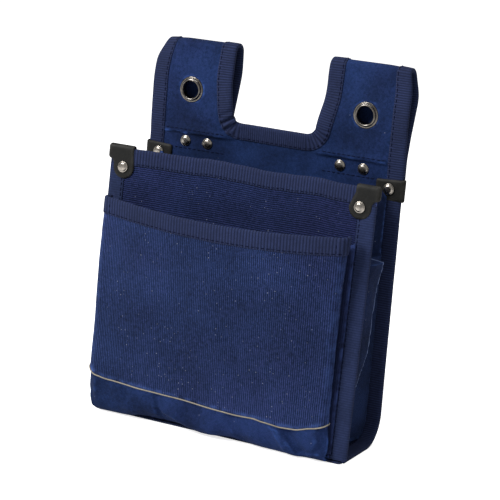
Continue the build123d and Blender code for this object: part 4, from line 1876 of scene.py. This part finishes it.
@dataclass
class MainFront:
    """The main pocket's front panel with its tapes, leather corners and rivets."""

    surface: FrontSurface
    rivet_x: float = 103.0 * MM
    rivet_v: float = 198.0 * MM
    patch_radius: float = 9.3 * MM

    def build(self) -> None:
        """Makes everything on the main front panel."""
        maker = Maker(Body.MAIN_FRONT)
        half, foot, top = LAYOUT.front_half, self.surface.foot, self.surface.top
        outline = [(-half, foot), (half, foot), (half, top), (-half, top)]
        cutting = Cutting.from_outline(outline, (3.5 * MM, 3.5 * MM))
        draft = cutting.cloth(self.surface)
        maker.piece("main_front_cloth", draft, Finish.RIBBED_LEVEL, ["front_panel"])
        self.tapes(maker)
        self.corners(maker)
        rivets = []
        lift = STOCK.tape_top + STOCK.leather
        for side in Side:
            seat = self.surface.place(side.value * self.rivet_x, self.rivet_v, lift)
            rivets.append((seat, self.surface.out))
        Rivets("front_corner", Body.MAIN_FRONT, rivets, -2 * lift).build()

    def tapes(self, maker: Maker) -> None:
        """The mouth's tape, the side seams' tapes, and their stitching."""
        half, foot, top = LAYOUT.front_half, self.surface.foot, self.surface.top
        width = STOCK.tape_width
        threads = Draft()
        step = Tape.step(STOCK.mouth_rib_pitch)
        mouth = Hem.along(self.surface, [(-half, top), (half, top)], False, step)
        maker.piece("front_mouth_binding", Tape(mouth).draft(), Finish.TAPE, ["front_mouth_tape"])
        row = top - width + 1.4 * MM
        for side in Side:
            x = side.value * half
            hem = Hem.along(self.surface, [(x, foot), (x, top - width)], side is Side.RIGHT, Tape.step())
            tape = Tape(hem, width + 0.5 * MM, ribs=0.05 * MM).draft()
            word = side.word
            maker.piece(f"{word}_front_seam_binding", tape, Finish.WORN_TAPE, [f"{word}_front_seam_tape"])
            inset = x - side.value * (width - 1.2 * MM)
            sew_through(threads, self.surface, [(inset, foot + 3 * MM), (inset, top - width)])
        sew_through(threads, self.surface, [(-92 * MM, row), (92 * MM, row)])
        maker.piece("main_front_stitching", threads, Finish.THREAD)

    def corners(self, maker: Maker) -> None:
        """Leather folded over the mouth's corners."""
        half, top = LAYOUT.front_half + 0.4 * MM, self.surface.top + 0.4 * MM
        wrap = EdgeWrap(self.surface, half, top, STOCK.tape_top + STOCK.leather / 2)
        base = STOCK.tape_top - 0.1 * MM
        for side in Side:
            outline = self.patch_outline(side)
            cutting = Cutting.from_outline(outline, (1.1 * MM, 1.1 * MM))
            draft = cutting.sewn(wrap, level(base), pillow(outline, base, STOCK.leather, 1.2 * MM))
            maker.piece(f"{side.word}_front_leather", draft, Finish.LEATHER, [f"{side.word}_front_corner"])

    def patch_outline(self, side: Side) -> list[Point2]:
        """The leather's cut, laid flat: a round end about the rivet and flaps past the top and the side."""
        x, v, r = self.rivet_x, self.rivet_v, self.patch_radius
        made: list[Point2] = []
        for i in range(17):
            angle = math.pi * (1 + i / 16)
            made.append((x + r * math.cos(angle), v + r * math.sin(angle)))
        top = self.surface.top + 19 * MM
        flap = LAYOUT.front_half + 8.5 * MM
        slant = 4.5 * MM if side is Side.RIGHT else 1.0 * MM
        inner = x - r + slant
        made += [
            (x + r, v + 2.5 * MM),
            (x + r + 1.6 * MM, v + 5 * MM),
            (flap - 5 * MM, v + 6.5 * MM),
            (flap - 1.5 * MM, v + 8.5 * MM),
            (flap, v + 12 * MM),
            (flap, top - 9 * MM),
            (flap - 2 * MM, top - 4.5 * MM),
            (flap - 5 * MM, top - 1.5 * MM),
            (flap - 9 * MM, top),
            (inner + 3 * MM, top),
            (inner + 0.8 * MM, top - 0.9 * MM),
            (inner, top - 3.5 * MM),
            (inner, v + 11 * MM),
        ]
        return [(side.value * u, v) for u, v in made]


@dataclass
class FrontPocket:
    """The second pocket: bowed front, mouth tape, seam cord and bottom band."""

    surface: PocketSurface
    turn_back: float = 3.5 * MM

    def edge(self, side: Side, z: float) -> float:
        """How far across its turned-back edge is from the middle, along the cloth."""
        radius = self.surface.corner_radius
        up = smooth(LAYOUT.seam_z, LAYOUT.pocket_top, z)
        past = mix(0.4 * MM, self.turn_back, up)
        return side.value * (self.surface.half_width(z, side.value) - radius + radius * math.pi / 2 + past)

    def build(self) -> None:
        """Makes the second pocket."""
        maker = Maker(Body.FRONT_POCKET)
        outline = self.outline()
        cutting = Cutting.from_outline(outline, (2.6 * MM, 0.022))
        draft = cutting.cloth(self.surface)
        self.true_marks(draft)
        maker.piece("pocket_front_cloth", draft, Finish.RIBBED_UPRIGHT, ["pocket_panel"])
        self.mouth(maker)
        self.seam(maker)
        self.band(maker)

    def outline(self) -> list[Point2]:
        """The panel's cut, in the surface's own coordinates."""
        shares = [i / 12 for i in range(13)]
        heights = [(mix(LAYOUT.seam_z, LAYOUT.pocket_top, share), share) for share in shares]
        right = [(self.edge(Side.RIGHT, z), share) for z, share in heights]
        left = [(self.edge(Side.LEFT, z), share) for z, share in reversed(heights)]
        return right + left

    def true_marks(self, draft: Draft) -> None:
        """Turns the marks' share of height into a distance up the cloth."""
        tall = LAYOUT.pocket_top - LAYOUT.seam_z
        draft.marks = [(u, v * tall) for u, v in draft.marks]

    def mouth(self, maker: Maker) -> None:
        """The tape on the bowed mouth and its stitching."""
        tall = LAYOUT.pocket_top - LAYOUT.seam_z
        scaled = Scaled(self.surface, tall)
        ends = [self.edge(side, LAYOUT.pocket_top) for side in (Side.LEFT, Side.RIGHT)]
        step = Tape.step(STOCK.mouth_rib_pitch)
        hem = Hem.along(scaled, [(ends[0], tall), (ends[1], tall)], False, step)
        tape = Tape(hem, 13.2 * MM)
        maker.piece("pocket_mouth_binding", tape.draft(), Finish.TAPE, ["pocket_mouth_tape"])
        row = tall - tape.width + 1.3 * MM
        threads = Draft()
        sew_through(threads, scaled, [(ends[0] + 8 * MM, row), (ends[1] - 8 * MM, row)])
        for side, end in zip((Side.LEFT, Side.RIGHT), ends):
            x = end - side.value * 13.5 * MM
            threads.merge(StitchRow(scaled, [(x, row), (x, tall - 1 * MM)], STOCK.tape_top).draft())
        maker.piece("pocket_stitching", threads, Finish.THREAD)

    def seam(self, maker: Maker) -> None:
        """The pale cord in the seam above the band."""
        path = []
        low, high = self.edge(Side.LEFT, LAYOUT.seam_z), self.edge(Side.RIGHT, LAYOUT.seam_z)
        count = 150
        for i in range(count + 1):
            path.append(self.surface.place(mix(low, high, i / count), 0.0, STOCK.skin + 0.25 * MM))
        maker.piece("pocket_seam_cord", strand(path, 0.55 * MM), Finish.PIPING, ["pocket_piping"])

    def band(self, maker: Maker) -> None:
        """The plain cloth under the seam."""
        band = BandSurface(self.surface)
        tall = 36 * MM
        scaled = Scaled(band, tall)
        left, right = -110.5 * MM, 102.0 * MM
        outline = [(left, 0.0), (right, 0.0), (right, tall), (left, tall)]
        cutting = Cutting.from_outline(outline, (1.5 * MM, 1.0 * MM))
        draft = cutting.cloth(scaled)
        maker.piece("pocket_band_cloth", draft, Finish.CANVAS, ["pocket_band"])


@dataclass
class MainGusset:
    """One side wall of the main pocket: folded inwards at its top, and popped outwards lower down.

    u runs from the back seam, 0, to the front seam, 1; v is the height. Two tables by height place its sharp
    upright crease: crease is its depth, ridge_reach its distance from the middle.
    """

    side: Side
    front: FrontSurface
    pop_top: float = 152.5 * MM
    crease: Table = (
        (6, 66), (29.5, 58.6), (48, 51), (62, 43), (83, 32.5), (99, 30), (122, 28), (138, 25.5), (152, 23),
    )
    ridge_reach: Table = ((6, 106), (30, 107.5), (60, 108.2), (90, 109), (120, 110.5), (152, 112.5))

    def seams(self, z: float) -> tuple[Vector, Vector]:
        """The back and front seams at a height, as (distance from the middle, y)."""
        heel = LAYOUT.heel_top - z
        rise = 0.0
        if heel > 0:
            radius = LAYOUT.heel_top
            rise = radius - math.sqrt(max(0.0, radius**2 - heel**2))
        back = Vector((101 * MM, LAYOUT.back_y - 2.2 * MM - rise))
        tuck = corner_tuck(self.side.value * 101.5 * MM, z)
        front = Vector((101.5 * MM - tuck, self.front.y_at_height(z) + 2.6 * MM))
        return back, front

    def place(self, u: float, v: float, lift: float = 0.0) -> Vector:
        """The point at a share u of the way forward and height v, lifted outwards."""
        here = self._flat(u, v)
        ahead, behind = self._flat(min(u + 0.02, 1.0), v), self._flat(max(u - 0.02, 0.0), v)
        run = (ahead - behind).normalized()
        out = Vector((-run.y, run.x))
        return Vector((self.side.value * (here.x + out.x * lift), here.y + out.y * lift, v))

    def _flat(self, u: float, z: float) -> Vector:
        """The middle surface's section at height z, as (distance from the middle, y)."""
        back, front = self.seams(z)
        popped = 1 - smooth(self.pop_top - 1.6 * MM, self.pop_top + 1.6 * MM, z)
        ridge = self._ridge(back, front, z)
        share = self.crease_share(z)
        wave = crumple(z, u * 0.05, 4.4 + self.side.value, 30 * MM) * 2.0 * MM * math.sin(math.pi * u)
        here = self._folded(u, back, front, z).lerp(self._popped(u, back, ridge, front, share), popped)
        here.x += wave
        return here

    def _ridge(self, back: Vector, front: Vector, z: float) -> Vector:
        """The crease's section point at height z, between the seams' points there."""
        depth = read_table(self.crease, z)
        reach = read_table(self.ridge_reach, z)
        y = max(LAYOUT.y_at(depth), front.y + 1.5 * MM)
        drawn = (101.5 * MM - front.x) * smooth(0.0, 1.0, (back.y - y) / (back.y - front.y))
        return Vector((reach - drawn, y))

    def crease_share(self, z: float) -> float:
        """How far forward the crease is at height z, as a share of the gusset."""
        back, front = self.seams(z)
        ridge = self._ridge(back, front, z)
        return min(0.9, max(0.12, (back.y - ridge.y) / (back.y - front.y)))

    def _popped(self, u: float, back: Vector, ridge: Vector, front: Vector, share: float) -> Vector:
        """The outward part: hollow behind the crease, nearly flat ahead of it."""
        if u < share:
            t = u / share
            spot = back.lerp(ridge, t)
            spot.x -= 9.0 * MM * math.sin(math.pi * t**1.7)
            return spot
        t = (u - share) / (1 - share)
        spot = ridge.lerp(front, t)
        spot.x += 1.8 * MM * math.sin(math.pi * min(1.0, t * 1.2)) - 1.5 * MM * smooth(0.55, 1.0, t)
        return spot

    def _folded(self, u: float, back: Vector, front: Vector, z: float) -> Vector:
        """The inward part: a fold that points into the pocket."""
        spot = back.lerp(front, u)
        deep = mix(27 * MM, 15 * MM, smooth(150 * MM, 200 * MM, z))
        vee = 1 - abs(2 * u - 1)
        spot.x -= deep * mix(vee, math.sin(math.pi * u), 0.45)
        return spot

    def build(self) -> None:
        """Makes the gusset."""
        foot, top = 5.0 * MM, 207.0 * MM
        outline = [(0, foot), (1, foot), (1, top), (0.24, top), (0.1, top - 2.5 * MM), (0, top - 9 * MM)]
        rows = [self.pop_top + i * 0.45 * MM for i in range(-6, 7)]
        cutting = Cutting.from_outline(outline, (0.02, 3.0 * MM), rows)
        draft = cutting.cloth(self, STOCK.gusset_cloth)
        draft.marks = [((u - self.crease_share(v)) * 62 * MM, v) for u, v in draft.marks]
        word = self.side.word
        start = Vector((0, LAYOUT.y_at(3 * MM), 0.1))
        end = Vector((0, LAYOUT.y_at(50 * MM), 0.1))
        nodes = [f"{word}_gusset_rear_leaf", f"{word}_gusset_front_leaf"]
        crosses = (Body.MAIN_FRONT, start, end)
        # The gusset's canvas is a darker copy, painted shade, with a pale line painted on its crease.
        Maker(Body.BACK).piece(f"{word}_main_gusset", draft, Finish.SHADED_GUSSET_CANVAS, nodes, crosses)


@dataclass
class PocketGusset:
    """One side wall of the second pocket, folded inwards. u runs from the main front, 0, to the pocket, 1."""

    side: Side
    front: FrontSurface
    pocket: PocketSurface
    foot: float = 7.0 * MM

    def place(self, u: float, v: float, lift: float = 0.0) -> Vector:
        """The point at a share u of the way forward and a share v of the way up, lifted outwards."""
        top = mix(170 * MM, LAYOUT.pocket_top - 3 * MM, smooth(0, 1, u)) - 9 * MM * math.sin(math.pi * u)
        z = mix(self.foot, top, v)
        here = self._flat(u, z)
        run = (self._flat(min(u + 0.03, 1.0), z) - self._flat(max(u - 0.03, 0.0), z)).normalized()
        out = Vector((-run.y, run.x))
        return Vector((self.side.value * (here.x + out.x * lift), here.y + out.y * lift, z))

    def _flat(self, u: float, z: float) -> Vector:
        """The section at height z, as (distance from the middle, y)."""
        half = self.pocket.half_width(min(z, LAYOUT.pocket_top), self.side.value)
        back = Vector((103.2 * MM, self.front.y_at_height(z) - 2.4 * MM))
        corner_y = self.pocket.front_y(self.side.value * (half - 6 * MM), max(z, LAYOUT.seam_z))
        tuck = 4.5 * MM * (1 - smooth(6 * MM, 26 * MM, z))
        front = Vector((half - 1.6 * MM, min(corner_y + 8.0 * MM + tuck, back.y - 3 * MM)))
        spot = back.lerp(front, u)
        deep = 12.0 * MM * smooth(2 * MM, 40 * MM, z) + 2 * MM
        spot.x -= deep * math.sin(math.pi * u) ** 0.9
        spot.x += crumple(z, u * 0.02, 7.7 + self.side.value, 30 * MM) * 0.9 * MM * math.sin(math.pi * u)
        return spot

    def build(self) -> None:
        """Makes the gusset."""
        cutting = Cutting.from_outline([(0, 0), (1, 0), (1, 1), (0, 1)], (0.05, 0.02))
        draft = cutting.cloth(self, STOCK.gusset_cloth)
        draft.marks = [(u * 22 * MM, v * 170 * MM) for u, v in draft.marks]
        word = self.side.word
        start = self.front.place(0, 90 * MM, 2.5 * MM)
        end = start + self.front.out * 8 * MM
        nodes = [f"{word}_pocket_gusset_rear_leaf", f"{word}_pocket_gusset_front_leaf"]
        crosses = (Body.FRONT_POCKET, start, end)
        # The pocket gusset's canvas is a darker copy, painted shade.
        Maker(Body.MAIN_FRONT).piece(f"{word}_pocket_gusset", draft, Finish.PAINTED_SHADE_CANVAS, nodes, crosses)


@dataclass
class BaseSeam:
    """The taped seam where the bottom, the front panel and the band meet: a squashed, ribbed roll."""

    squash: float = 0.72
    sides: int = 14

    def build(self) -> None:
        """Makes the seam's tape."""
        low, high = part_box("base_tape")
        middle = (low + high) / 2
        reach, tall = (high.y - low.y) / 2, (high.z - low.z) / 2
        section = []
        for i in range(self.sides):
            angle = TURN * i / self.sides
            y = math.copysign(abs(math.cos(angle)) ** self.squash, math.cos(angle)) * reach
            z = math.copysign(abs(math.sin(angle)) ** self.squash, math.sin(angle)) * tall
            section.append((y, z))
        rings = []
        draft = Draft()
        first = low.x + 8 * MM
        count = round((high.x - first) / Tape.step())
        for i in range(count + 1):
            x = mix(first, high.x, i / count)
            end_gap = min(x - first, high.x - x)
            size = math.sqrt(min(1.0, (end_gap + 0.2 * MM) / (3 * MM)))
            rib = size * (0.94 + 0.05 * math.cos(TURN * i / SAMPLES_PER_RIB))
            ring = []
            for y, z in section:
                spot = Vector((x + corner_tuck(x, 0), middle.y + y * size, middle.z + z * rib))
                ring.append(draft.add(spot, (i * Tape.step(), y)))
            rings.append(ring)
        draft.skin_over(rings)
        Maker(Body.BACK).piece("base_seam_binding", draft, Finish.WORN_TAPE, ["base_tape"])


# --------------------------------------------------------------------------------------------- stage


@dataclass
class Stage:
    """Floor, lights and camera."""

    eye: Vector = field(default_factory=lambda: Vector((0.650, -1.3115, 0.470)))
    lens: float = 137.3
    roll: float = math.radians(4.59)
    aim_shift: Point2 = (0.00844, 0.00766)
    floor_reach: float = 30.0
    floor_glow: float = 0.75

    def build(self) -> None:
        """Makes the stage."""
        self.floor()
        self.lights()
        self.camera()

    def floor(self) -> None:
        """A plain pale floor."""
        mesh = bpy.data.meshes.new("floor")
        reach = self.floor_reach
        corners = [(-reach, -reach, 0), (reach, -reach, 0), (reach, reach, 0), (-reach, reach, 0)]
        mesh.from_pydata(corners, [], [(0, 1, 2, 3)])
        floor = bpy.data.objects.new("floor", mesh)
        material = bpy.data.materials.new("PaleFloor")
        material.use_nodes = True
        shader = material.node_tree.nodes["Principled BSDF"]
        shader.inputs["Base Color"].default_value = (0.9, 0.9, 0.9, 1)
        shader.inputs["Roughness"].default_value = 0.9
        shader.inputs["Emission Color"].default_value = (1, 1, 1, 1)
        wiring = Wiring(material.node_tree)
        seen = wiring.add("LightPath").outputs["Is Camera Ray"]
        wiring.feed(shader.inputs["Emission Strength"], wiring.math("MULTIPLY", self.floor_glow, seen))
        mesh.materials.append(material)
        bpy.context.scene.collection.objects.link(floor)

    def lights(self) -> None:
        """A soft key from the upper left, a broad fill, and a bright surround."""
        self.lamp("key", (-0.9, -1.3, 1.3), 0.7, 43.0)
        self.lamp("fill", (1.6, -1.6, 0.7), 1.6, 2.5)
        self.lamp("top", (0.1, 0.3, 1.9), 1.0, 15.0)
        world = bpy.data.worlds.new("Surround")
        world.use_nodes = True
        world.node_tree.nodes["Background"].inputs["Color"].default_value = (1, 1, 1, 1)
        world.node_tree.nodes["Background"].inputs["Strength"].default_value = 0.36
        bpy.context.scene.world = world

    def lamp(self, name: str, spot: tuple[float, float, float], size: float, power: float) -> None:
        """Adds one area light aimed at the pouch.

        Args:
            name: its name.
            spot: where it is.
            size: its width.
            power: its power in watts.
        """
        data = bpy.data.lights.new(name, "AREA")
        data.size = size
        data.energy = power
        lamp = bpy.data.objects.new(name, data)
        lamp.location = spot
        lamp.rotation_euler = (Vector((0, 0, 0.15)) - Vector(spot)).to_track_quat("-Z", "Y").to_euler()
        bpy.context.scene.collection.objects.link(lamp)

    def camera(self) -> None:
        """A long lens, a little to the right of the front, rolled so that the pouch leans."""
        data = bpy.data.cameras.new("camera")
        data.lens = self.lens
        data.clip_end = 100
        camera = bpy.data.objects.new("camera", data)
        back = (self.eye - Vector((0, LAYOUT.back_y, 0.15))).normalized()
        right = Vector((0, 0, 1)).cross(back).normalized()
        up = back.cross(right)
        cos, sin = math.cos(self.roll), math.sin(self.roll)
        right, up = right * cos + up * sin, up * cos - right * sin
        aim = (-back - right * self.aim_shift[0] - up * self.aim_shift[1]).normalized()
        side = (right - aim * right.dot(aim)).normalized()
        basis = Matrix((side, side.cross(aim), -aim)).transposed()
        camera.matrix_world = Matrix.Translation(self.eye) @ basis.to_4x4()
        bpy.context.scene.collection.objects.link(camera)
        bpy.context.scene.camera = camera


def main() -> None:
    """Builds the pouch and the stage."""
    logging.basicConfig(level=logging.INFO, format="%(name)s: %(message)s")
    bpy.context.scene.view_settings.view_transform = "Standard"
    front, pocket = FrontSurface(), PocketSurface()
    Stage().build()
    BackAssembly(BackSurface()).build()
    MainFront(front).build()
    FrontPocket(pocket).build()
    for side in Side:
        MainGusset(side, front).build()
        PocketGusset(side, front, pocket).build()
    BaseSeam().build()


if __name__ == "__main__":
    main()
